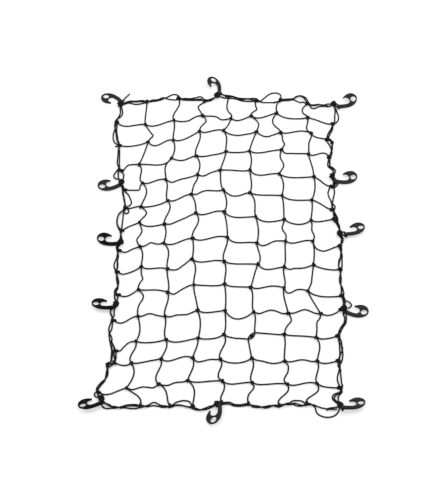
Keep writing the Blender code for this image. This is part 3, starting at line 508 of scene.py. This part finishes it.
def new_tree(name, inputs):
    """An empty tree: geometry in and out, and inputs given as name, kind and plain value."""
    tree = bpy.data.node_groups.new(name, "GeometryNodeTree")
    tree.interface.new_socket("Geometry", in_out="INPUT", socket_type="NodeSocketGeometry")
    tree.interface.new_socket("Geometry", in_out="OUTPUT", socket_type="NodeSocketGeometry")
    for label, kind, value in inputs:
        socket = tree.interface.new_socket(label, in_out="INPUT", socket_type="NodeSocket" + kind)
        if value is not None:
            socket.default_value = value
    return tree, tree.nodes.new("NodeGroupInput").outputs, tree.nodes.new("NodeGroupOutput").inputs


def add_node(tree, kind, settings=None, family="GeometryNode", **inputs):
    node = tree.nodes.new(family + kind)
    for label, value in (settings or {}).items():
        setattr(node, label, value)
    for label, value in inputs.items():
        link_in(tree, node.inputs[label.replace("_", " ")], value)
    return node


def finish_tree(tree, geometry, given, result):
    """Every tree ends in real geometry with its material."""
    real = add_node(tree, "RealizeInstances", Geometry=geometry)
    dressed = add_node(tree, "SetMaterial", Geometry=real.outputs[0], Material=given["Material"])
    tree.links.new(dressed.outputs[0], result["Geometry"])


def make_cord_tree():
    """Round cords with domed ends along wires, with a UV map round and along each of them."""
    tree, given, result = new_tree("round_cord", [
        ("Radius", "Float", CORD_RADIUS * MM), ("Sides", "Int", CORD_SIDES), ("Material", "Material", None),
    ])
    wire = add_node(tree, "MeshToCurve", Mesh=given["Geometry"])
    place = add_node(tree, "SplineParameter")
    whole = add_node(tree, "SplineLength")
    rest = calculate(tree, "SUBTRACT", whole.outputs["Length"], place.outputs["Length"])
    near_end = calculate(tree, "MINIMUM", place.outputs["Length"], rest)
    inward = calculate(tree, "SUBTRACT", 1.0, calculate(tree, "DIVIDE", near_end, given["Radius"]), clamp=True)
    dome = calculate(tree, "SQRT", calculate(tree, "SUBTRACT", 1.0, calculate(tree, "POWER", inward, 2.0)))
    along = add_node(
        tree, "StoreNamedAttribute", {"data_type": "FLOAT", "domain": "POINT"}, Geometry=wire.outputs[0],
        Name="along", Value=calculate(tree, "DIVIDE", place.outputs["Length"], MM),
    )
    ring = add_node(
        tree, "CurveArc", {"mode": "RADIUS"}, Resolution=calculate(tree, "ADD", given["Sides"], 1.0),
        Radius=given["Radius"], Start_Angle=0.0, Sweep_Angle=2 * math.pi,
    )
    round_it = add_node(
        tree, "StoreNamedAttribute", {"data_type": "FLOAT", "domain": "POINT"}, Geometry=ring.outputs[0],
        Name="round", Value=add_node(tree, "SplineParameter").outputs["Factor"],
    )
    tube = add_node(tree, "CurveToMesh", Curve=along.outputs[0], Profile_Curve=round_it.outputs[0], Scale=dome)
    both = tree.nodes.new("ShaderNodeCombineXYZ")
    for axis, label in ((0, "round"), (1, "along")):
        named = add_node(tree, "InputNamedAttribute", {"data_type": "FLOAT"}, Name=label)
        tree.links.new(named.outputs[0], both.inputs[axis])
    mapped = add_node(
        tree, "StoreNamedAttribute", {"data_type": "FLOAT2", "domain": "CORNER"}, Geometry=tube.outputs[0],
        Name="cord", Value=both.outputs[0],
    )
    closed = add_node(tree, "MergeByDistance", Geometry=mapped.outputs[0], Distance=0.01 * MM)
    smooth = add_node(tree, "SetShadeSmooth", Geometry=closed.outputs[0])
    finish_tree(tree, smooth.outputs[0], given, result)
    return tree


def make_repeat_tree():
    """One pattern on every point, turned by the point's own angle, with a seeded part of a turn and size."""
    tree, given, result = new_tree("repeated_knot", [
        ("Pattern", "Object", None), ("Any Turn", "Float", 0.0), ("Least Size", "Float", 0.92),
        ("Most Size", "Float", 1.1), ("Seed", "Int", SEED), ("Material", "Material", None),
    ])
    pattern = add_node(tree, "ObjectInfo", Object=given["Pattern"])
    own = add_node(tree, "InputNamedAttribute", {"data_type": "FLOAT"}, Name="way")
    chance = add_node(tree, "RandomValue", {"data_type": "FLOAT"}, "FunctionNode", Seed=given["Seed"])
    any_turn = calculate(tree, "MULTIPLY", chance.outputs[1], given["Any Turn"])
    turn = calculate(tree, "ADD", own.outputs[0], any_turn)
    upright = tree.nodes.new("ShaderNodeCombineXYZ")
    tree.links.new(turn, upright.inputs["Z"])
    next_seed = calculate(tree, "ADD", given["Seed"], 1.0)
    size = add_node(tree, "RandomValue", {"data_type": "FLOAT"}, "FunctionNode", Seed=next_seed)
    tree.links.new(given["Least Size"], size.inputs[2])
    tree.links.new(given["Most Size"], size.inputs[3])
    placed = add_node(
        tree, "InstanceOnPoints", Points=given["Geometry"], Instance=pattern.outputs["Geometry"],
        Rotation=upright.outputs[0], Scale=size.outputs[1],
    )
    finish_tree(tree, placed.outputs[0], given, result)
    return tree


def object_from(name, mesh):
    item = bpy.data.objects.new(name, mesh)
    bpy.context.scene.collection.objects.link(item)
    return item


def run_tree(mesh, tree, values):
    """The plain mesh that a tree makes of a mesh."""
    item = object_from(tree.name, mesh)
    modifier = item.modifiers.new(tree.name, "NODES")
    modifier.node_group = tree
    for socket in tree.interface.items_tree:
        if socket.in_out == "INPUT" and socket.name in values:
            modifier[socket.identifier] = values[socket.name]
    graph = bpy.context.evaluated_depsgraph_get()
    made = bpy.data.meshes.new_from_object(item.evaluated_get(graph), depsgraph=graph)
    bpy.data.objects.remove(item, do_unlink=True)
    return made


def wire_mesh(paths):
    """Loose wires through the given points, in metres, each with extra points for its domed ends."""
    mesh = bpy.data.meshes.new("wires")
    points = []
    edges = []
    for path in paths:
        path = [Vector(point) for point in path]
        for end, inner in ((0, 1), (-1, -2)):
            step = path[inner] - path[end]
            near = [path[end] + step.normalized() * CORD_RADIUS * MM * share for share in (0.3, 1.0)]
            near = [point for point in near if (point - path[end]).length < 0.9 * step.length]
            if end == 0:
                path[1:1] = near
            else:
                path[-1:-1] = near[::-1]
        first = len(points)
        points += path
        edges += [(first + place, first + place + 1) for place in range(len(path) - 1)]
    mesh.from_pydata(points, edges, [])
    return mesh


def point_mesh(places):
    """Loose points, given as x, y and z in the plan and a way to face."""
    mesh = bpy.data.meshes.new("points")
    mesh.from_pydata([in_frame(x, y, z) for x, y, z, _ in places], [], [])
    way = mesh.attributes.new("way", "FLOAT", "POINT")
    way.data.foreach_set("value", [way_here for _, _, _, way_here in places])
    return mesh


def joined(name, meshes, material):
    """One piece of several meshes, its faces turned outwards."""
    bm = bmesh.new()
    for mesh in meshes:
        bm.from_mesh(mesh)
    bmesh.ops.recalc_face_normals(bm, faces=bm.faces)
    whole = bpy.data.meshes.new(name)
    bm.to_mesh(whole)
    bm.free()
    whole.materials.append(material)
    for polygon in whole.polygons:
        polygon.material_index = 0
    whole.shade_smooth()
    return object_from(name, whole)


# ---------------------------------------------------------------- cord paths


def between(p0, p1, p2, p3, t):
    """The smooth curve's point between p1 and p2, t of the way, from them and their neighbours."""
    return 0.5 * (
        2 * p1
        + (p2 - p0) * t
        + (2 * p0 - 5 * p1 + 4 * p2 - p3) * t**2
        + (3 * p1 - p0 - 3 * p2 + p3) * t**3
    )


def smooth_through(points, spacing):
    """A smooth curve through points of any number of values, sampled about every spacing."""
    points = [np.array(point, dtype=float) for point in points]
    ends = [2 * points[0] - points[1]] + points + [2 * points[-1] - points[-2]]
    sampled = []
    for index in range(1, len(ends) - 2):
        p0, p1, p2, p3 = ends[index - 1 : index + 3]
        count = max(1, round(float(np.linalg.norm((p2 - p1)[:2])) / spacing))
        for step in range(count):
            sampled.append(between(p0, p1, p2, p3, step / count))
    sampled.append(points[-1])
    return sampled


def knot_loop(reach, rise, steps, lift=0.0, turned=0.0):
    """An overhand knot's loop round its own middle, in metres: three lobes, over and under."""
    loop = []
    for step in range(steps + 2):
        t = 2 * math.pi * step / steps
        x = (math.sin(t) + 2 * math.sin(2 * t)) * reach / 3 * MM
        y = (math.cos(t) - 2 * math.cos(2 * t)) * reach / 3 * MM
        loop.append((
            x * math.cos(turned) - y * math.sin(turned),
            x * math.sin(turned) + y * math.cos(turned),
            (lift - rise * math.sin(3 * t)) * MM,
        ))
    return loop


def bow_at(bow, t):
    """A slack cord's distance from the straight line, t of the way along it."""
    if len(bow) == 5:
        values = (-bow[0], 0, *bow, 0, -bow[-1])
        place = (len(bow) + 1) * min(1.0, max(0.0, t))
        index = min(len(bow), int(place))
        return between(*values[index : index + 4], place - index)
    marks = (0.25, 0.75) if len(bow) == 2 else (0.25, 0.5, 0.75)
    total = 0.0
    for mark, offset in zip(marks, bow):
        weight = offset / (mark * (1 - mark))
        for other in marks:
            if other != mark:
                weight *= (t - other) / (mark - other)
        total += weight
    return total * t * (1 - t)


def slack_cord(first, last, bow, steps=20):
    """A mesh cord's way from knot to knot, down on the floor but for its ends."""
    dx = last[0] - first[0]
    dy = last[1] - first[1]
    length = math.hypot(dx, dy)
    path = []
    for step in range(steps + 1):
        t = -CORD_OVERLAP / length + step / steps * (1 + 2 * CORD_OVERLAP / length)
        offset = bow_at(bow, t)
        near_end = max(0.0, min(t, 1 - t)) * length
        lift = (KNOT_REST - CORD_RADIUS) * math.exp(-2 * (near_end / KNOT_SLOPE) ** 2)
        path.append(in_frame(
            first[0] + t * dx - offset * dy / length,
            first[1] + t * dy + offset * dx / length,
            CORD_RADIUS + lift,
        ))
    return path


# ---------------------------------------------------------------- the mesh of thin cords


def cord_end(row, column, end):
    """A knot's place; the slipped knot has two, and a cord leaves it by one or the other."""
    return SLIPPED_ENDS[end] if (row, column) == SLIPPED_KNOT else KNOTS[row][column]


def build_mesh_cords(cord_tree, repeat_tree, material):
    ways = [slack_cord(*SLIPPED_ENDS, (bow, bow)) for bow in (-SLIPPED_BOW, SLIPPED_BOW)]
    for row, bows in enumerate(CROSS_BOWS, start=1):
        for column, bow in enumerate(bows):
            ways.append(slack_cord(cord_end(row, column, 1), cord_end(row, column + 1, 0), bow))
    for row, bows in enumerate(LENGTH_BOWS):
        for column, bow in enumerate(bows, start=1):
            ways.append(slack_cord(cord_end(row, column, 0), cord_end(row + 1, column, 1), bow))
    cords = run_tree(wire_mesh(ways), cord_tree, {"Material": material})
    turns = wire_mesh([knot_loop(KNOT_REACH, KNOT_RISE, KNOT_STEPS)])
    pattern = object_from("mesh_knot_pattern", run_tree(turns, cord_tree, {"Material": material}))
    tied = [SLIPPED_TURNS if (row, column) == SLIPPED_KNOT else KNOTS[row][column]
            for row in range(1, LAST_ROW) for column in range(1, LAST_COLUMN)]
    places = [(*place, KNOT_REST, 0.0) for place in tied]
    knots = run_tree(point_mesh(places), repeat_tree, {
        "Pattern": pattern, "Any Turn": 2 * math.pi, "Material": material,
    })
    bpy.data.objects.remove(pattern, do_unlink=True)
    return joined("mesh_cords", [cords, knots], material)


# ---------------------------------------------------------------- the doubled border cord


def stopper_place(hook):
    """The x and y of a hook's stopper knot."""
    return hook[6:8]


def border_chain():
    """The whole border as one chain of x, y and opening, from the first hook's stopper knot round to it."""
    chain = []
    for hook, run in zip(HOOKS, BORDER):
        chain.append((*stopper_place(hook), 0))
        chain += run
    chain.append(chain[0])
    return chain


def twist_phases(samples, tight):
    """How far the two cords have turned about each other at each sample: half turns in tight stretches."""
    phase = np.zeros(len(samples))
    index = 0
    while index < len(samples) - 1:
        stop = index
        while stop < len(samples) - 1 and tight[stop]:
            stop += 1
        if stop == index:
            phase[index + 1] = phase[index]
            index += 1
            continue
        steps = [math.dist(samples[place][:2], samples[place + 1][:2]) for place in range(index, stop)]
        halves = max(1, round(sum(steps) / TWIST_PITCH))
        travelled = 0.0
        for place, step in zip(range(index, stop), steps):
            travelled += step
            phase[place + 1] = phase[index] + math.pi * halves * travelled / sum(steps)
        index = stop
    return phase


def pair_of_cords(chain):
    """Both border cords' ways: side by side where the border is open, twisted together where it is tight."""
    samples = smooth_through(chain, BORDER_SPACING)
    opening = [max(0.0, float(sample[2])) for sample in samples]
    phases = twist_phases(samples, [gap < TIGHT_OPENING for gap in opening])
    cords = ([], [])
    for index, sample in enumerate(samples):
        before = samples[max(index - 1, 0)]
        after = samples[min(index + 1, len(samples) - 1)]
        ahead = (after - before)[:2]
        ahead = ahead / max(float(np.linalg.norm(ahead)), 1e-9)
        across = max(PAIR_HALF, opening[index] / 2) * math.cos(phases[index])
        up = PAIR_HALF * math.sin(phases[index])
        for cord, side in zip(cords, (-1, 1)):
            cord.append(in_frame(
                sample[0] - ahead[1] * across * side,
                sample[1] + ahead[0] * across * side,
                CORD_RADIUS + abs(up) + up * side,
            ))
    return cords


def hitch_turns():
    """The turns of a mesh cord's hitch round the border, which runs along x here, in metres."""
    path = []
    steps = int(HITCH_TURNS * HITCH_STEPS)
    for step in range(steps + 1):
        angle = 2 * math.pi * HITCH_TURNS * step / steps
        height = max(CORD_RADIUS, KNOT_REST + HITCH_UP * math.sin(angle))
        along = HITCH_LONG * (step / steps - 0.5)
        path.append((along * MM, HITCH_ACROSS * math.cos(angle) * MM, height * MM))
    return path


def border_place(x, y, chain):
    """The border's place nearest to a point, and the way it runs there."""
    best = (math.inf, None, 0.0)
    for first, second in zip(chain, chain[1:]):
        dx = second[0] - first[0]
        dy = second[1] - first[1]
        share = ((x - first[0]) * dx + (y - first[1]) * dy) / max(dx**2 + dy**2, 1e-6)
        share = min(1.0, max(0.0, share))
        near = (first[0] + share * dx, first[1] + share * dy)
        best = min(best, (math.dist((x, y), near), near, math.atan2(dy, dx)))
    return best[1], best[2]


def slot_height(hook):
    """The height of a hook's slot: the hook rolls about its shank, and its lowest edge rests on the floor."""
    roll = math.radians(hook[5])
    lowest = max(v for _, v in HOOK_OUTSIDE) if roll < 0 else -min(v for _, v in HOOK_OUTSIDE)
    return HOOK_THICK / 2 + lowest * abs(math.sin(roll))


def bight_way(hook):
    """The small loop of cord that holds a hook: out of its stopper knot, through the slot and back."""
    x, y = stopper_place(hook)
    height = slot_height(hook)
    way = [(x, y, STOPPER_CENTRE)]
    for u, v in BIGHT_TURNS:
        way.append((*hook_point(hook, u, v), height))
    way.append((x, y, STOPPER_CENTRE))
    return [in_frame(*point) for point in smooth_through(way, FINE_SPACING)]


def build_border_cords(cord_tree, repeat_tree, material):
    chain = border_chain()
    ways = list(pair_of_cords(chain))
    ways += [[in_frame(*point) for point in smooth_through(tail, STRAND_SPACING)] for tail in TAILS]
    for runner in RUNNERS:
        ways.append([in_frame(*point, RUNNER_HEIGHT) for point in smooth_through(runner, STRAND_SPACING)])
    ways += [bight_way(hook) for hook in HOOKS]
    meshes = [run_tree(wire_mesh(ways), cord_tree, {"Material": material})]

    ends = [KNOTS[row][column] for row in range(1, LAST_ROW) for column in (0, LAST_COLUMN)]
    ends += [KNOTS[row][column] for row in (0, LAST_ROW) for column in range(1, LAST_COLUMN)]
    hitches = [(*end, 0.0, border_place(*end, chain)[1]) for end in ends]
    hard_knots = [(*place, HARD_KNOT_REST, 0.0) for place in HARD_KNOTS]
    stoppers = [(*stopper_place(hook), STOPPER_CENTRE, 0.0) for hook in HOOKS]
    inner = knot_loop(STOPPER_REACH - PAIR_HALF, STOPPER_RISE, STOPPER_STEPS, STOPPER_LIFTS[0])
    first = knot_loop(STOPPER_REACH, STOPPER_RISE, STOPPER_STEPS, STOPPER_LIFTS[1])
    second = knot_loop(STOPPER_REACH, STOPPER_RISE, STOPPER_STEPS, STOPPER_LIFTS[2], math.pi / 3)
    hard_loop = knot_loop(HARD_KNOT_REACH, HARD_KNOT_RISE, KNOT_STEPS)
    for seed, places, paths, any_turn in (
        (SEED + 10, hitches, [hitch_turns()], 0.0),
        (SEED + 20, hard_knots, [hard_loop], 2 * math.pi),
        (SEED + 30, stoppers, [inner, first, second], 2 * math.pi),
    ):
        pattern = object_from("knot_pattern", run_tree(wire_mesh(paths), cord_tree, {"Material": material}))
        meshes.append(run_tree(point_mesh(places), repeat_tree, {
            "Pattern": pattern, "Any Turn": any_turn, "Least Size": 0.95, "Most Size": 1.05, "Seed": seed,
            "Material": material,
        }))
        bpy.data.objects.remove(pattern, do_unlink=True)
    return joined("border_cords", meshes, material)


# ---------------------------------------------------------------- the hooks


def hook_point(hook, u, v):
    """A place beside a hook, from its slot: u out along the shank, v to the side of the point."""
    _, x, y, degrees, turned = hook[:5]
    angle = math.radians(degrees)
    side = -v if turned else v
    return (
        x + u * math.cos(angle) - side * math.sin(angle),
        y + u * math.sin(angle) + side * math.cos(angle),
    )


def hook_outline():
    """The hook's plan, anticlockwise from the shank's slot end."""
    throat = []
    for degrees in range(90, -90 - THROAT_TURN, -THROAT_TURN):
        angle = math.radians(degrees)
        throat.append((
            THROAT_CENTRE[0] + THROAT_REACH * math.cos(angle),
            THROAT_CENTRE[1] + THROAT_REACH * math.sin(angle),
        ))
    outside = [tuple(point) for point in smooth_through(HOOK_OUTSIDE, FINE_SPACING)]
    front = [tuple(point) for point in smooth_through([throat[-1]] + SHANK_FRONT, FINE_SPACING)]
    return outside + throat + front[1:]


def eye_outline():
    """The eye's plan, clockwise: the plastic lies to the left of it, as it does of the hook's own plan."""
    tilt = math.radians(EYE_TILT)
    eye = []
    for step in range(EYE_STEPS):
        angle = -2 * math.pi * step / EYE_STEPS
        long = EYE_HALF[0] * math.cos(angle)
        short = EYE_HALF[1] * math.sin(angle)
        eye.append((
            EYE_CENTRE[0] + long * math.cos(tilt) - short * math.sin(tilt),
            EYE_CENTRE[1] + long * math.sin(tilt) + short * math.cos(tilt),
        ))
    return eye


def inset(plan, reach):
    """A closed plan moved to its left by a reach."""
    moved = []
    for index, here in enumerate(plan):
        before = Vector(here) - Vector(plan[index - 1])
        after = Vector(plan[(index + 1) % len(plan)]) - Vector(here)
        left = Vector((-before.y, before.x)).normalized()
        middle = (left + Vector((-after.y, after.x)).normalized()).normalized()
        moved.append(Vector(here) + middle * reach / max(MITRE_LIMIT, middle.dot(left)))
    return moved


def build_hook_mesh():
    """One hook on its back: a plate with rounded edges, its eye and its cross slot, thinner in the head."""
    bm = bmesh.new()
    lit_face_share = bm.verts.layers.float.new("flat_face")
    caps = ([], [])
    for plan in (hook_outline(), eye_outline()):
        rings = []
        for side in (-1, 1):
            for step in range(HOOK_ROUND_STEPS + 1)[::side]:
                angle = 0.5 * math.pi * step / HOOK_ROUND_STEPS
                height = HOOK_THICK / 2 + side * (HOOK_THICK / 2 - HOOK_BEVEL * (1 - math.sin(angle)))
                ring = []
                for x, y in inset(plan, HOOK_BEVEL * (1 - math.cos(angle))):
                    vertex = bm.verts.new((x * MM, y * MM, height * MM))
                    # Flat faces are marked 1 and rounded edges 0: the plastic paints light on the faces and
                    # shade on the edges by this mark
                    vertex[lit_face_share] = 1.0 if step == HOOK_ROUND_STEPS else 0.0
                    ring.append(vertex)
                rings.append(ring)
        for lower, upper in zip(rings, rings[1:]):
            for index in range(len(plan)):
                after = (index + 1) % len(plan)
                bm.faces.new((lower[index], lower[after], upper[after], upper[index]))
        caps[0].append(rings[0])
        caps[1].append(rings[-1])
    for cap in caps:
        corners = [vertex for ring in cap for vertex in ring]
        for triangle in tessellate_polygon([[vertex.co for vertex in ring] for ring in cap]):
            bm.faces.new([corners[index] for index in triangle])
    bmesh.ops.recalc_face_normals(bm, faces=bm.faces)
    plate = bpy.data.meshes.new("hook")
    bm.to_mesh(plate)
    bm.free()
    body = object_from("hook_body", plate)
    bpy.ops.mesh.primitive_cube_add(size=1.0, location=(0.0, 0.0, HOOK_THICK / 2 * MM))
    cutter = bpy.context.object
    cutter.scale = (SLOT_WIDE * MM, SLOT_CUT_LENGTH * MM, SLOT_HIGH * MM)
    cut = body.modifiers.new("slot", "BOOLEAN")
    cut.operation = "DIFFERENCE"
    cut.solver = "EXACT"
    cut.object = cutter
    graph = bpy.context.evaluated_depsgraph_get()
    mesh = bpy.data.meshes.new_from_object(body.evaluated_get(graph), depsgraph=graph)
    for item in (body, cutter):
        bpy.data.objects.remove(item, do_unlink=True)
    for vertex in mesh.vertices:
        out = min(1.0, max(0.0, (vertex.co.x / MM - HEAD_STARTS) / HEAD_THINS_OVER))
        vertex.co.z *= 1.0 + (HOOK_THIN / HOOK_THICK - 1.0) * out * out * (3 - 2 * out)
    return mesh


def build_hook(hook, pattern, material):
    """A hook in its place, settled on the floor."""
    name, x, y, degrees, turned, roll = hook[:6]
    mesh = pattern.copy()
    about_shank = math.pi - math.radians(roll) if turned else math.radians(roll)
    turn = Matrix.Rotation(math.radians(degrees), 4, "Z") @ Matrix.Rotation(about_shank, 4, "X")
    mesh.transform(Matrix.Translation(in_frame(x, y)) @ turn)
    mesh.transform(Matrix.Translation((0.0, 0.0, -min(vertex.co.z for vertex in mesh.vertices))))
    mesh.materials.clear()
    mesh.materials.append(material)
    mesh.shade_smooth()
    mesh.set_sharp_from_angle(angle=math.radians(SHARP_ANGLE))
    return object_from(name + "_moulding", mesh)


# ---------------------------------------------------------------- floor, light and camera


def build_stage():
    bpy.context.scene.view_settings.view_transform = "Standard"
    material = bpy.data.materials.new("pale_floor")
    material.use_nodes = True
    shader = material.node_tree.nodes["Principled BSDF"]
    shader.inputs["Base Color"].default_value = (FLOOR_WHITE, FLOOR_WHITE, FLOOR_WHITE, 1.0)
    shader.inputs["Roughness"].default_value = FLOOR_ROUGH
    shader.inputs["Emission Color"].default_value = (1.0, 1.0, 1.0, 1.0)
    shader.inputs["Emission Strength"].default_value = FLOOR_GLOW
    bpy.ops.mesh.primitive_plane_add(size=FLOOR_SIDE, location=(0.0, 0.0, 0.0))
    floor = bpy.context.object
    floor.name = "pale_floor"
    floor.data.materials.append(material)
    world = bpy.data.worlds.new("soft_room")
    bpy.context.scene.world = world
    world.use_nodes = True
    room = world.node_tree.nodes["Background"]
    room.inputs["Color"].default_value = (1.0, 1.0, 1.0, 1.0)
    room.inputs["Strength"].default_value = ROOM_LIGHT
    light = bpy.data.lights.new("soft_box", "AREA")
    light.shape = "RECTANGLE"
    light.size = SOFT_BOX_SIDE
    light.size_y = SOFT_BOX_SIDE
    light.energy = SOFT_BOX_WATTS
    lamp = object_from("soft_box", light)
    lamp.location = SOFT_BOX_PLACE
    lamp.rotation_euler = (-lamp.location).to_track_quat("-Z", "Y").to_euler()


def build_camera():
    camera = bpy.data.cameras.new("camera")
    camera.lens = CAMERA_LENS
    camera.sensor_width = CAMERA_SENSOR
    camera.clip_end = CAMERA_REACH
    item = object_from("camera", camera)
    rise = math.radians(CAMERA_ELEVATION)
    back = Vector((0.0, -math.cos(rise), math.sin(rise)))
    item.location = in_frame(*LOOK_AT) + back * CAMERA_DISTANCE * MM
    item.rotation_euler = (math.pi / 2 - rise, 0.0, 0.0)
    bpy.context.scene.camera = item


def main():
    build_camera()
    build_stage()
    braid = make_braid_group()
    thin = cord_material("mesh_cord", braid, MESH_YARNS, MESH_PITCH, MESH_TONES)
    thick = cord_material("border_cord", braid, BORDER_YARNS, BORDER_PITCH, BORDER_TONES)
    cord_tree = make_cord_tree()
    repeat_tree = make_repeat_tree()
    mesh_cords = build_mesh_cords(cord_tree, repeat_tree, thin)
    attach(mesh_cords, "root")
    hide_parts("net_mesh")
    border_cords = build_border_cords(cord_tree, repeat_tree, thick)
    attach(border_cords, "root")
    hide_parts("border_cord")
    # The second plastic is the same plastic painted darker and duller, as painted shade on the shaded hooks
    lit_plastic = plastic_material("hook_plastic", LIT_HOOK_TONES, LIT_HOOK_SHINE)
    shaded_plastic = plastic_material("hook_plastic_deep", SHADED_HOOK_TONES, SHADED_HOOK_SHINE)
    pattern = build_hook_mesh()
    for hook in HOOKS:
        moulding = build_hook(hook, pattern, shaded_plastic if hook[0] in SHADED_HOOKS else lit_plastic)
        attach(moulding, "root")
        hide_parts(hook[0])


main()
